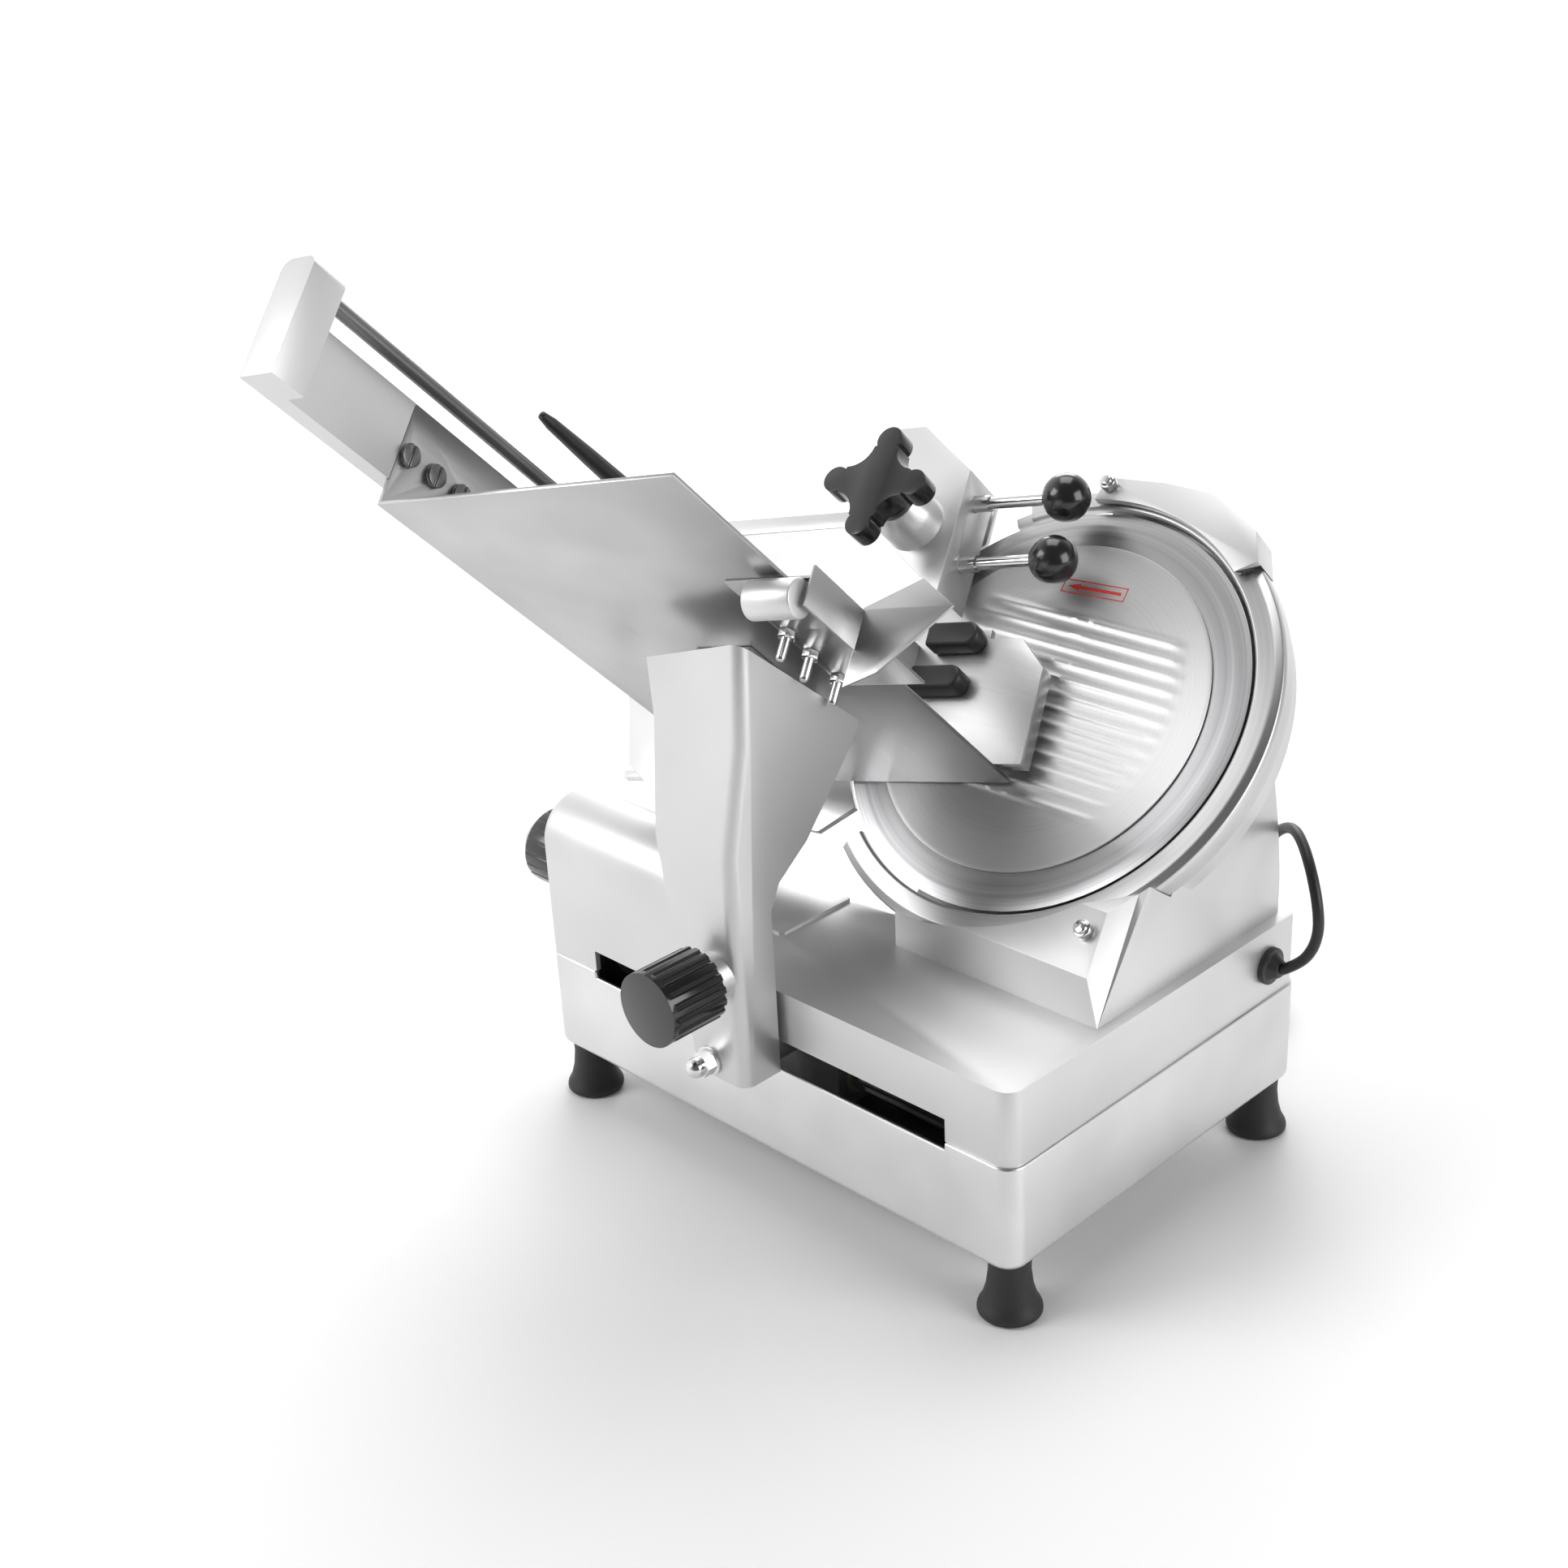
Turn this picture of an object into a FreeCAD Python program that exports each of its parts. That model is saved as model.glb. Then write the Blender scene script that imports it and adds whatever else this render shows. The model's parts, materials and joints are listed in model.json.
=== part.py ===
"""Gravity-feed deli meat slicer, 300 mm blade, as separate pieces in millimetres.

Axes: +X along the slotted long side, from the operator's end to the cord's end. +Y from the slotted
front to the side where slices fall. +Z up. The table is z = 0. Pieces are drawn about the centre of
the base and moved by ORIGIN when saved, so that the origin is the centre of the whole footprint.

The blade leans back by BLADE_TILT. Its frame has x along X, y up the blade and z out of its face.
The tray's frame is the blade's frame turned by CROSS_TILT: x across the tray floor (w), y up from the
floor (t) and z away from the blade (n).
"""
import FreeCAD, Part
import math
import os

V = FreeCAD.Vector
X_AXIS = V(1, 0, 0)
Y_AXIS = V(0, 1, 0)
Z_AXIS = V(0, 0, 1)

# ---- driving dimensions
BASE_LENGTH = 434.0
BASE_WIDTH = 310.0
FOOT_HEIGHT = 42.0
LEDGE_Z = 118.0
DECK_Z = 171.0
BLOCK_TOP_Z = 236.0
WALL = 4.0
BLADE_RADIUS = 150.0
BLADE_TILT = 45.0
CROSS_TILT = 16.0
BLADE_CENTRE = V(51.0, 81.3, 300.5)
TRAY_WIDTH = 228.0
TRAY_LENGTH = 396.0
SLICE_MAX = 13.0
RUN_FIT = 0.05
CORD_RADIUS = 3.75

# ---- the origin: centre of the footprint of everything but the cord
ORIGIN = V(-63.75, -67.03, 0.0)

# ---- base
HALF_L = BASE_LENGTH / 2
HALF_W = BASE_WIDTH / 2
CORNER_R = 14.0
LEDGE_STEP = 1.5
BLOCK_END_X = -66.0
BLOCK_CREST_Y = -107.0
BLOCK_BACK_Y = -61.0
SLOT_HALF_LENGTH = 164.0
SLOT_Z0 = 112.5
SLOT_Z1 = 134.0
FOOT_X = 200.0
FOOT_Y = 136.0
BUTTON_Y = (40.0, 76.0)
BUTTON_Z = 146.0

# ---- blade group, heights along the blade axis
COVER_RADIUS = 123.5
COVER_TOP = 3.0
RING_INNER = 152.5
RING_OUTER = 172.0
RING_BACK = -9.0
RING_WALL_END = -15.5
HEAD_FACE = -16.0
HOUSING_BACK = -64.0
PLINTH_FACE = 31.0
PLINTH_FRONT_Y = -59.5
PLINTH_TOP_Z = 234.0
RING_START_ANGLE = -125.0
RING_END_ANGLE = 122.0
SEAT_GAP_START = 128.0
SEAT_GAP = 104.0
SPINDLE_RADIUS = 10.0
PULLEY_LOW = -56.0
PULLEY_HIGH = -42.0
DRIVEN_RADIUS = 42.0
MOTOR_PULLEY_RADIUS = 20.0
MOTOR_AT = V(70.0, -85.0, 0.0)
MOTOR_RADIUS = 48.0
MOTOR_LOW = -122.0
RELEASE_KNOB_FRONT = -124.0
RELEASE_KNOB_BACK = -142.0
MOTOR_HIGH = -60.0
BELT_THICKNESS = 3.0
BELT_GAP = 0.35

# ---- carriage
RAIL_Y = -95.0
RAIL_Z = 88.0
RAIL_RADIUS = 11.0
TRACK_TOP_Z = 62.0
ROLLER_RADIUS = 12.0
ARM_BACK_Y = -158.0
ARM_RIGHT_X = 26.0
KNOB_AT = V(6.0, 0.0, 193.0)
ARM_BOLT_AT = V(-6.0, 0.0, 125.0)

# ---- tray, in the tray frame
FLOOR = 2.5
FENCE_TOP = 71.0
FLOOR_START = 1.5
ROD_AT = V(-221.0, 84.0, 0.0)
ROD_RADIUS = 5.0
ROD_END_N = 508.0
CAP_START_N = 482.0
PLATE_N = 16.0
GUARD_FOLD = V(19.6, -15.6, 231.0)
MOUNT_BOLT_W = -36.0
MOUNT_BOLT_N = (225.0, 198.0, 165.0)
BRACKET_SCREW_N = (388.0, 364.0, 340.0)
BRACKET_SCREW_T = 39.0
PUSHER_START_N = 26.0
PUSHER_END_N = 84.0

# ---- sharpener, in the tray frame
SHARPENER_AXIS = V(-98.5, 181.0, 0.0)
STONE_AT = V(-92.0, 196.0, 0.0)
LEVER_T = (205.0, 157.0)
LEVER_N = (28.0, 26.0)

# ---- gauge and index
SPINDLE_AXIS = V(-231.0, -226.1, 58.5)
GUIDE_ROD_U = -245.0
GUIDE_ROD_RADIUS = 6.0
CAM_START_RADIUS = 10.0
CAM_RISE_PER_DEGREE = SLICE_MAX / 300.0
CAM_START_ANGLE = 22.0

BLADE_FRAME = FreeCAD.Placement(BLADE_CENTRE, FreeCAD.Rotation(X_AXIS, BLADE_TILT))
TRAY_FRAME = BLADE_FRAME.multiply(FreeCAD.Placement(V(9.2, -59.7, 4.0), FreeCAD.Rotation(Z_AXIS, CROSS_TILT)))
BLADE_AXIS_IN_TRAY = TRAY_FRAME.inverse().multVec(BLADE_CENTRE)


# ---- drawing helpers
def box(x0, x1, y0, y1, z0, z1):
    return Part.makeBox(x1 - x0, y1 - y0, z1 - z0, V(x0, y0, z0))


def rod(radius, start, end):
    axis = end - start
    return Part.makeCylinder(radius, axis.Length, start, axis)


def disc(radius, z0, z1, at=V(0, 0, 0)):
    return Part.makeCylinder(radius, z1 - z0, V(at.x, at.y, z0))


def ring(outer, inner, z0, z1, at=V(0, 0, 0)):
    return disc(outer, z0, z1, at).cut(disc(inner, z0 - 1, z1 + 1, at))


def prism(points, direction):
    face = Part.Face(Part.makePolygon(points + points[:1]))
    return face.extrude(direction)


def slab(outline, z0, z1):
    """A flat piece with the given (x, y) outline between two heights."""
    return prism([V(x, y, z0) for x, y in outline], V(0, 0, z1 - z0))


def turned(profile, angle=360.0, start=0.0):
    """A solid turned about the local z axis from (radius, height) points."""
    face = Part.Face(Part.makePolygon([V(r, 0, h) for r, h in profile + profile[:1]]))
    solid = face.revolve(V(0, 0, 0), Z_AXIS, angle)
    solid.rotate(V(0, 0, 0), Z_AXIS, start)
    return solid


def ball(radius, centre):
    return Part.makeSphere(radius, centre)


def cone(radius0, radius1, start, end):
    axis = end - start
    return Part.makeCone(radius0, radius1, axis.Length, start, axis)


def hexagon(across_flats, z0, z1, at=V(0, 0, 0)):
    corner = across_flats / 2 / math.cos(math.pi / 6)
    angles = [math.pi / 3 * step for step in range(6)]
    return slab([(at.x + corner * math.cos(a), at.y + corner * math.sin(a)) for a in angles], z0, z1)


def rounded(shape, radius, keep):
    """The shape with a fillet on every edge that keep() accepts."""
    return shape.makeFillet(radius, [edge for edge in shape.Edges if keep(edge)])


def upright(edge):
    a, b = edge.Vertexes[0].Point, edge.Vertexes[-1].Point
    return abs(a.x - b.x) < 0.01 and abs(a.y - b.y) < 0.01 and abs(a.z - b.z) > 1


def rounded_block(x0, x1, y0, y1, z0, z1, radius):
    return rounded(box(x0, x1, y0, y1, z0, z1), radius, upright)


def in_frame(frame, shape):
    moved = shape.copy()
    moved.Placement = frame.multiply(moved.Placement)
    return moved


def on_blade(shape):
    return in_frame(BLADE_FRAME, shape)


def on_tray(shape):
    return in_frame(TRAY_FRAME, shape)


def half_space(point, normal, size=900.0):
    """A large block filling the side of a plane that its normal points to."""
    block = Part.makeBox(size, size, size, V(-size / 2, -size / 2, 0))
    block.Placement = FreeCAD.Placement(point, FreeCAD.Rotation(Z_AXIS, normal))
    return block


def save(name, *pieces):
    solids = [solid for piece in pieces for solid in piece.Solids]
    shape = solids[0] if len(solids) == 1 else Part.makeCompound(solids)
    shape = shape.copy()
    shape.translate(ORIGIN.negative())
    shape.exportStep("parts/" + name + ".step")


# ---- base and housing
def base_pan():
    """Lower casting: an open box with a rim underneath that carries the feet."""
    outer = rounded_block(-HALF_L, HALF_L, -HALF_W, HALF_W, FOOT_HEIGHT, LEDGE_Z, CORNER_R)
    outer = rounded(outer, 6.0, lambda e: e.BoundBox.ZMax < FOOT_HEIGHT + 0.1)
    inner_x = HALF_L - WALL
    inner_y = HALF_W - WALL
    room = rounded_block(-inner_x, inner_x, -inner_y, inner_y, FOOT_HEIGHT + WALL, LEDGE_Z + 1, 10.0)
    rim = 44.0
    hole = box(-HALF_L + rim, HALF_L - rim, -HALF_W + rim, HALF_W - rim, FOOT_HEIGHT - 1, FOOT_HEIGHT + WALL + 1)
    slot = box(-SLOT_HALF_LENGTH, SLOT_HALF_LENGTH, -HALF_W - 1, -HALF_W + WALL + 1, SLOT_Z0, LEDGE_Z + 1)
    return outer.cut(room).cut(hole).cut(slot)


def leaning_block(x0, x1, inset):
    """Prism along X with an upright front and a back that leans like the thickness plate."""
    front = -HALF_W + LEDGE_STEP + inset
    crest = BLOCK_CREST_Y - 0.4 * inset
    back = BLOCK_BACK_Y - 1.2 * inset
    outline = [(front, LEDGE_Z), (front, BLOCK_TOP_Z - inset), (crest, BLOCK_TOP_Z - inset), (back, DECK_Z), (back, LEDGE_Z)]
    return prism([V(x0, y, z) for y, z in outline], V(x1 - x0, 0, 0))


def deck_housing():
    """Upper casting: the flat deck and the tall block at the operator's end, open underneath."""
    x1 = HALF_L - LEDGE_STEP
    y1 = HALF_W - LEDGE_STEP
    front_round = 32.0
    back_round = 22.0
    deck = rounded_block(-x1, x1, -y1, y1, LEDGE_Z, DECK_Z, CORNER_R - LEDGE_STEP)
    block = leaning_block(-x1, BLOCK_END_X + 6, 0.0)
    block = rounded(block, front_round, lambda e: e.BoundBox.ZMin > BLOCK_TOP_Z - 1 and e.BoundBox.YMax < -y1 + 1)
    block = rounded(block, back_round, lambda e: e.BoundBox.ZMin > BLOCK_TOP_Z - 1 and e.BoundBox.YMin > BLOCK_CREST_Y - 1)
    block = rounded(block, 9.0, lambda e: e.BoundBox.XMax < -x1 + 0.5 and e.BoundBox.ZMax > DECK_Z + 1)
    block = block.cut(half_space(V(BLOCK_END_X, -y1, 0), V(0.989, 0.15, 0)))
    pad = slab([(-90, -100), (-30, -100), (-27, -97), (-27, -33), (-30, -30), (-90, -30)], DECK_Z - 1, DECK_Z + 2.5)
    outer = deck.fuse([block, pad])
    room = rounded_block(-x1 + WALL, x1 - WALL, -y1 + WALL, y1 - WALL, LEDGE_Z - 1, DECK_Z - WALL, 8.0)
    block_room = leaning_block(-x1 + WALL + 2, BLOCK_END_X - 14 - WALL, WALL)
    room_front = lambda e: e.BoundBox.ZMin > BLOCK_TOP_Z - WALL - 1 and e.BoundBox.YMax < -y1 + WALL + 1
    block_room = rounded(block_room, front_round - WALL + 2, room_front)
    slot = box(-SLOT_HALF_LENGTH, SLOT_HALF_LENGTH, -y1 - 1, -y1 + WALL + 1, LEDGE_Z - 1, SLOT_Z1)
    under_tower = box(70, 192, -12, 140, DECK_Z - 10, DECK_Z + 1)
    gauge_slot = box(-194, -166, -42, 7, DECK_Z - 10, DECK_Z + 1)
    outer = outer.cut(room).cut(block_room).cut(slot).cut(under_tower).cut(gauge_slot)
    spindle = in_frame(BLADE_FRAME, rod(7.05, SPINDLE_AXIS + V(-60, 0, 0), SPINDLE_AXIS + V(20, 0, 0)))
    gland = rod(9.0, V(x1 - 10, 117, 143.5), V(x1 + 5, 117, 143.5))
    outer = outer.cut(spindle).cut(gland)
    for y in BUTTON_Y:
        outer = outer.cut(rod(9.0, V(-x1 - 5, y, BUTTON_Z), V(-x1 + 10, y, BUTTON_Z)))
    rod_lug = box(-190, -170, -y1 + WALL - 1, -104, 140, 153).cut(in_frame(BLADE_FRAME, guide_rod_solid(GUIDE_ROD_RADIUS + 0.02)))
    return outer.fuse(rod_lug)


def bottom_cover():
    """Sheet under the pan, with rows of slots that let the motor breathe."""
    plate = rounded_block(-178, 178, -116, 116, FOOT_HEIGHT - 2, FOOT_HEIGHT, 8.0)
    for column in range(7):
        x = 60 + column * 14
        plate = plate.cut(box(x, x + 5, 20, 90, FOOT_HEIGHT - 3, FOOT_HEIGHT + 1))
    return plate


def foot(x, y):
    """Flared rubber foot with its moulded stud through the pan's rim."""
    profile = [(0, 0), (19, 0), (21, 2), (20, 6), (16, 16), (13.5, 28), (13, 38), (14, FOOT_HEIGHT), (0, FOOT_HEIGHT)]
    solid = turned(profile)
    solid.translate(V(x, y, 0))
    return solid


def feet():
    return [foot(x, y) for x in (-FOOT_X, FOOT_X) for y in (-FOOT_Y, FOOT_Y)]


def blade_face_z(y, height):
    """World z of the plane parallel to the blade at this height along its axis."""
    return y - BLADE_CENTRE.y + BLADE_CENTRE.z + height * math.sqrt(2)


def tower_wedge(x0, x1, y1, height, foot_z):
    """Triangular body whose front face is parallel to the blade."""
    slope = blade_face_z(0, height)
    outline = [V(x0, foot_z - slope, foot_z), V(x0, y1, foot_z), V(x0, y1, y1 + slope)]
    return prism(outline, V(x1 - x0, 0, 0))


def motor_tower():
    """Casting behind the blade: pedestal, motor room, bearing boss, belt housing and the disc behind the blade."""
    wedge = tower_wedge(40, 207, 152, 8.0, DECK_Z)
    wedge = rounded(wedge, 18.0, lambda e: upright(e) and e.BoundBox.XMin > 200)
    wedge = wedge.cut(half_space(V(207, 0, DECK_Z), V(0.985, 0, 0.17)))
    wedge = wedge.cut(on_blade(disc(RING_OUTER + 1, HEAD_FACE, 60)))
    head = disc(RING_OUTER - 5, -34, HEAD_FACE).common(box(-34, 200, -200, 200, -40, 0))
    seat = ring(RING_OUTER - 4, RING_OUTER - 12, HEAD_FACE, RING_BACK)
    seat = seat.cut(turned([(0, HEAD_FACE - 9), (200, HEAD_FACE - 9), (200, 9), (0, 9)], SEAT_GAP, SEAT_GAP_START))
    belt_housing = belt_loop(12, HOUSING_BACK, HEAD_FACE)
    plinth = tower_wedge(40, 207, 60, PLINTH_FACE, DECK_Z)
    plinth = plinth.common(box(40, 207, PLINTH_FRONT_Y, 40, DECK_Z, PLINTH_TOP_Z))
    plinth = plinth.cut(half_space(V(207, 0, DECK_Z), V(0.97, 0, 0.25)))
    plinth = plinth.cut(on_blade(disc(RING_OUTER + 1, HEAD_FACE, 60)))
    body = wedge.fuse([on_blade(head), on_blade(seat), on_blade(belt_housing), plinth])
    room = tower_wedge(46, 196, 147, HEAD_FACE - 5, DECK_Z - 1)
    room = room.cut(half_space(V(200, 0, DECK_Z), V(0.985, 0, 0.17)))
    belt_room = belt_loop(7, HOUSING_BACK + 4, HEAD_FACE - 5)
    head_room = disc(RING_OUTER - 10, -60, HEAD_FACE - 5).common(box(-28, 148, -160, 100, -30, 0))
    body = body.cut(room).cut(on_blade(head_room)).cut(on_blade(belt_room))
    boss = ring(29, 21.05, -39, HEAD_FACE)
    release_boss = rod(18, V(0, 0, -84), V(0, 0, RELEASE_KNOB_FRONT + 1)).cut(rod(4.6, V(0, 0, -83), V(0, 0, -130)))
    release_boss = on_blade(release_boss).cut(box(-300, 300, -300, 147, -300, 600))
    body = body.cut(on_blade(disc(21.05, -50, 0)))
    body = body.cut(on_blade(rod(17.9, V(0, 0, -70), V(0, 0, -130))))
    body = body.fuse([on_blade(boss), release_boss])
    return body.cut(box(-300, 300, -300, 300, 0, DECK_Z))


def ring_guard():
    """Rim guard round the blade's free edge, a channel that steps down outside."""
    profile = [(RING_INNER, -3), (RING_INNER, 1.5), (154.5, 3.5), (164, 3.0), (170, 0), (RING_OUTER, -3.5),
               (RING_OUTER, RING_WALL_END), (168.5, RING_WALL_END), (168.5, -5), (160, -3)]
    guard = on_blade(turned(profile, RING_END_ANGLE - RING_START_ANGLE, RING_START_ANGLE))
    return guard.cut(box(-300, 300, -300, 300, 0, DECK_Z + 0.8))


def guard_top_cap():
    """Faceted cap that clamps the ring guard at the top of the tower."""
    outline = [(-34, 150), (-34, 171), (15, 175.5), (53, 174.7), (97, 155), (109, 134), (90, 118)]
    cap = slab(outline, -18, 10)
    cap = cap.cut(disc(156, -30, 20)).cut(disc(RING_OUTER + 0.3, -30, 4.2))
    return cap


def polar(radius, degrees, z=0.0):
    angle = math.radians(degrees)
    return V(radius * math.cos(angle), radius * math.sin(angle), z)


def guard_screws():
    """Knurled screws that hold the guard: one on the cap, one at the lower edge."""
    pieces = []
    for at in (V(-27, 165, 10), V(132, -141, PLINTH_FACE)):
        head = disc(6, at.z, at.z + 7, at)
        head = head.fuse(disc(4, at.z + 7, at.z + 9, at))
        pieces.append(on_blade(head))
    return pieces


def slice_deflector():
    """Curved sheet behind the blade's outgoing edge that lays the slices on the deck."""
    outer = rod(80, V(-120, -40, -96), V(-20, -40, -96))
    inner = rod(78.5, V(-121, -40, -96), V(-10, -40, -96))
    sheet = outer.cut(inner).common(box(-130, 0, -10, 60, -96, 0))
    sheet = sheet.cut(belt_loop(12, HOUSING_BACK, HEAD_FACE))
    return on_blade(sheet.common(box(-130, -40, -10, 60, -96, 0)))


# ---- blade, spindle and drive
def blade():
    profile = [(SPINDLE_RADIUS + 0.02, -9), (32, -9), (36, -6.5), (112, -6.5), (BLADE_RADIUS, -0.6), (BLADE_RADIUS, 0),
               (127, 1.0), (112, 1.0), (108, -3), (36, -3), (32, -3.6), (SPINDLE_RADIUS + 0.02, -3.6)]
    return on_blade(turned(profile))


def blade_cover():
    """Fixed dished cover with parallel ridges that let the meat slide."""
    body = disc(COVER_RADIUS, 1.4, COVER_TOP)
    body = body.fuse(ring(104, 60, -1.8, 1.4))
    ridge_pitch = 11.0
    for step in range(-6, 7):
        u = step * ridge_pitch
        reach = 0.82 * math.sqrt(COVER_RADIUS ** 2 - u ** 2)
        bar = rod(1.9, V(-reach, u, COVER_TOP - 1.1), V(reach, u, COVER_TOP - 1.1))
        bar = bar.fuse([ball(1.9, V(-reach, u, COVER_TOP - 1.1)), ball(1.9, V(reach, u, COVER_TOP - 1.1))])
        body = body.fuse(bar.common(box(-150, 150, -150, 150, 1.4, 9)))
    return on_blade(body)


def cover_tie_rod():
    return on_blade(disc(4.5, RELEASE_KNOB_BACK + 2, 1.4))


def cover_release_knob():
    """Round knob behind the tower that pulls the cover home."""
    front, back = RELEASE_KNOB_FRONT, RELEASE_KNOB_BACK
    knob = turned([(4.52, front), (20, front), (22, front - 3), (22, back + 4), (18, back), (4.52, back)])
    for step in range(12):
        knob = knob.cut(disc(2.2, back - 5, front + 5, polar(23, 30.0 * step)))
    return on_blade(knob)


def spindle():
    """Hollow spindle with the flange that the blade sits on."""
    shaft = disc(SPINDLE_RADIUS, -59, -3.8)
    flange = ring(30, SPINDLE_RADIUS - 1, -12, -9)
    return on_blade(shaft.fuse(flange).cut(disc(5.2, -70, 5)))


def spindle_bearings():
    bore = SPINDLE_RADIUS + RUN_FIT
    return [on_blade(ring(21.0, bore, low, low + 12)) for low in (-37.5, -25.0)]


def grooved_pulley(radius, bore, at):
    """Flat pulley with fine V grooves and a bore."""
    body = disc(radius, PULLEY_LOW, PULLEY_HIGH, at)
    for step in range(4):
        low = PULLEY_LOW + 2.2 + step * 2.8
        groove = turned([(radius - 0.9, low + 0.6), (radius + 1, low), (radius + 1, low + 1.2)])
        groove.translate(V(at.x, at.y, 0))
        body = body.cut(groove)
    return on_blade(body.cut(disc(bore, PULLEY_LOW - 1, PULLEY_HIGH + 1, at)))


def belt_loop(grow, low, high):
    """Solid between two heights round both pulleys, grown outward from their rims."""
    r1 = DRIVEN_RADIUS + grow
    r2 = MOTOR_PULLEY_RADIUS + grow
    along = math.atan2(MOTOR_AT.y, MOTOR_AT.x)
    spread = math.acos((r1 - r2) / MOTOR_AT.Length)

    def at(centre, radius, angle):
        return centre + V(radius * math.cos(angle), radius * math.sin(angle), low)

    hub = V(0, 0, 0)
    a1, b1 = at(hub, r1, along + spread), at(hub, r1, along - spread)
    a2, b2 = at(MOTOR_AT, r2, along + spread), at(MOTOR_AT, r2, along - spread)
    edges = [Part.Arc(a1, at(hub, r1, along + math.pi), b1).toShape(),
             Part.LineSegment(b1, b2).toShape(),
             Part.Arc(b2, at(MOTOR_AT, r2, along), a2).toShape(),
             Part.LineSegment(a2, a1).toShape()]
    return Part.Face(Part.Wire(edges)).extrude(V(0, 0, high - low))


def drive_belt():
    low, high = PULLEY_LOW + 1, PULLEY_HIGH - 1
    return on_blade(belt_loop(BELT_GAP + BELT_THICKNESS, low, high).cut(belt_loop(BELT_GAP, low, high)))


def motor():
    body = disc(MOTOR_RADIUS, MOTOR_LOW, MOTOR_HIGH, MOTOR_AT)
    for step in range(24):
        fin = polar(MOTOR_RADIUS + 0.6, 15.0 * step) + MOTOR_AT
        body = body.cut(disc(2.2, MOTOR_LOW + 8, MOTOR_HIGH - 8, fin))
    plate = disc(MOTOR_RADIUS + 6, MOTOR_HIGH - 5, MOTOR_HIGH, MOTOR_AT)
    return on_blade(body.fuse(plate).cut(disc(7 + RUN_FIT, -200, 0, MOTOR_AT)))


def motor_rotor():
    """Motor shaft with its cooling fan pressed on the back end."""
    shaft = disc(7, -134, -40, MOTOR_AT)
    fan = ring(12, 7, -133, -125, MOTOR_AT)
    for step in range(8):
        vane = box(11, 38, -0.8, 0.8, -133, -125)
        vane.rotate(V(0, 0, 0), Z_AXIS, 45.0 * step)
        vane.translate(V(MOTOR_AT.x, MOTOR_AT.y, 0))
        fan = fan.fuse(vane)
    return on_blade(shaft), on_blade(fan)


# ---- gauge plate and index
def gauge_outline():
    return [(-70, 228), (-365, 228), (-365, 73), (-344, 15), (-304, -13), (-150, -37), (-121, -16), (-70, 60)]


def gauge_plate():
    """Thickness plate: flat face beside the blade, curved edge round it, a rib along the top."""
    plate = slab(gauge_outline(), -9, -4.2)
    rail = box(-365, -82, 214, 228, -12, -3)
    stiffener = box(-350, -170, 6, 12, -16, -9)
    plate = plate.fuse([rail, stiffener])
    axis = BLADE_AXIS_IN_TRAY
    plate = plate.cut(Part.makeCylinder(RING_INNER, 60, V(axis.x, axis.y, -40)))
    return on_tray(plate)


def gauge_support():
    """Column from the plate's back down through the deck to the boss on the guide rod."""
    column = box(-239, -223, -250, -110, -24, -13.1).fuse(box(-239, -223, -147, -128, -13.2, -5))
    boss = disc(13, -24, 8, V(-231, GUIDE_ROD_U, 0))
    nose_end = SPINDLE_AXIS.z - CAM_START_RADIUS - CAM_RISE_PER_DEGREE * CAM_START_ANGLE - 1.0
    bar_u = SPINDLE_AXIS.y
    push_bar = box(-236, -226, bar_u - 5, bar_u + 5, 0, nose_end - 3)
    nose = rod(3, V(-236, bar_u, nose_end - 3), V(-226, bar_u, nose_end - 3))
    link = box(-236, -226, GUIDE_ROD_U, bar_u + 5, -13.1, 6)
    body = column.fuse([boss, link, push_bar, nose])
    return on_blade(body.cut(disc(GUIDE_ROD_RADIUS + RUN_FIT, -60, 60, V(-231, GUIDE_ROD_U, 0))))


def guide_rod_solid(radius):
    return disc(radius, -56, 30, V(-231, GUIDE_ROD_U, 0))


def gauge_guide_rod():
    return on_blade(guide_rod_solid(GUIDE_ROD_RADIUS))


def index_knob():
    """Round black knob on the operator's end, ribbed round its rim."""
    face_x = -HALF_L + LEDGE_STEP - 51.0 - 0.5
    start = V(face_x, SPINDLE_AXIS.y, SPINDLE_AXIS.z)
    knob = rod(28, start, start - V(26, 0, 0)).fuse(cone(28, 20, start - V(26, 0, 0), start - V(36, 0, 0)))
    for step in range(20):
        around = polar(29.2, 18.0 * step)
        groove_at = start + V(0, around.x, around.y)
        knob = knob.cut(rod(2.0, groove_at + V(1, 0, 0), groove_at - V(38, 0, 0)))
    return on_blade(knob.cut(rod(5.02, start + V(1, 0, 0), start - V(12, 0, 0))))


def index_cam():
    """Index spindle with the spiral cam that pushes the gauge column."""
    centre = SPINDLE_AXIS
    shaft = rod(5, centre + V(-47.5, 0, 0), centre + V(14, 0, 0)).fuse(rod(7, centre + V(-31, 0, 0), centre + V(-6, 0, 0)))
    points = []
    for step in range(0, 346, 15):
        radius = CAM_START_RADIUS + CAM_RISE_PER_DEGREE * step
        around = polar(radius, step - 90.0 - CAM_START_ANGLE)
        points.append(centre + V(-5, around.x, around.y))
    cam = prism(points, V(10, 0, 0))
    return on_blade(shaft.fuse(cam))


# ---- carriage inside the base
def carriage_rail():
    return rod(RAIL_RADIUS, V(-206, RAIL_Y, RAIL_Z), V(206, RAIL_Y, RAIL_Z))


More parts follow.
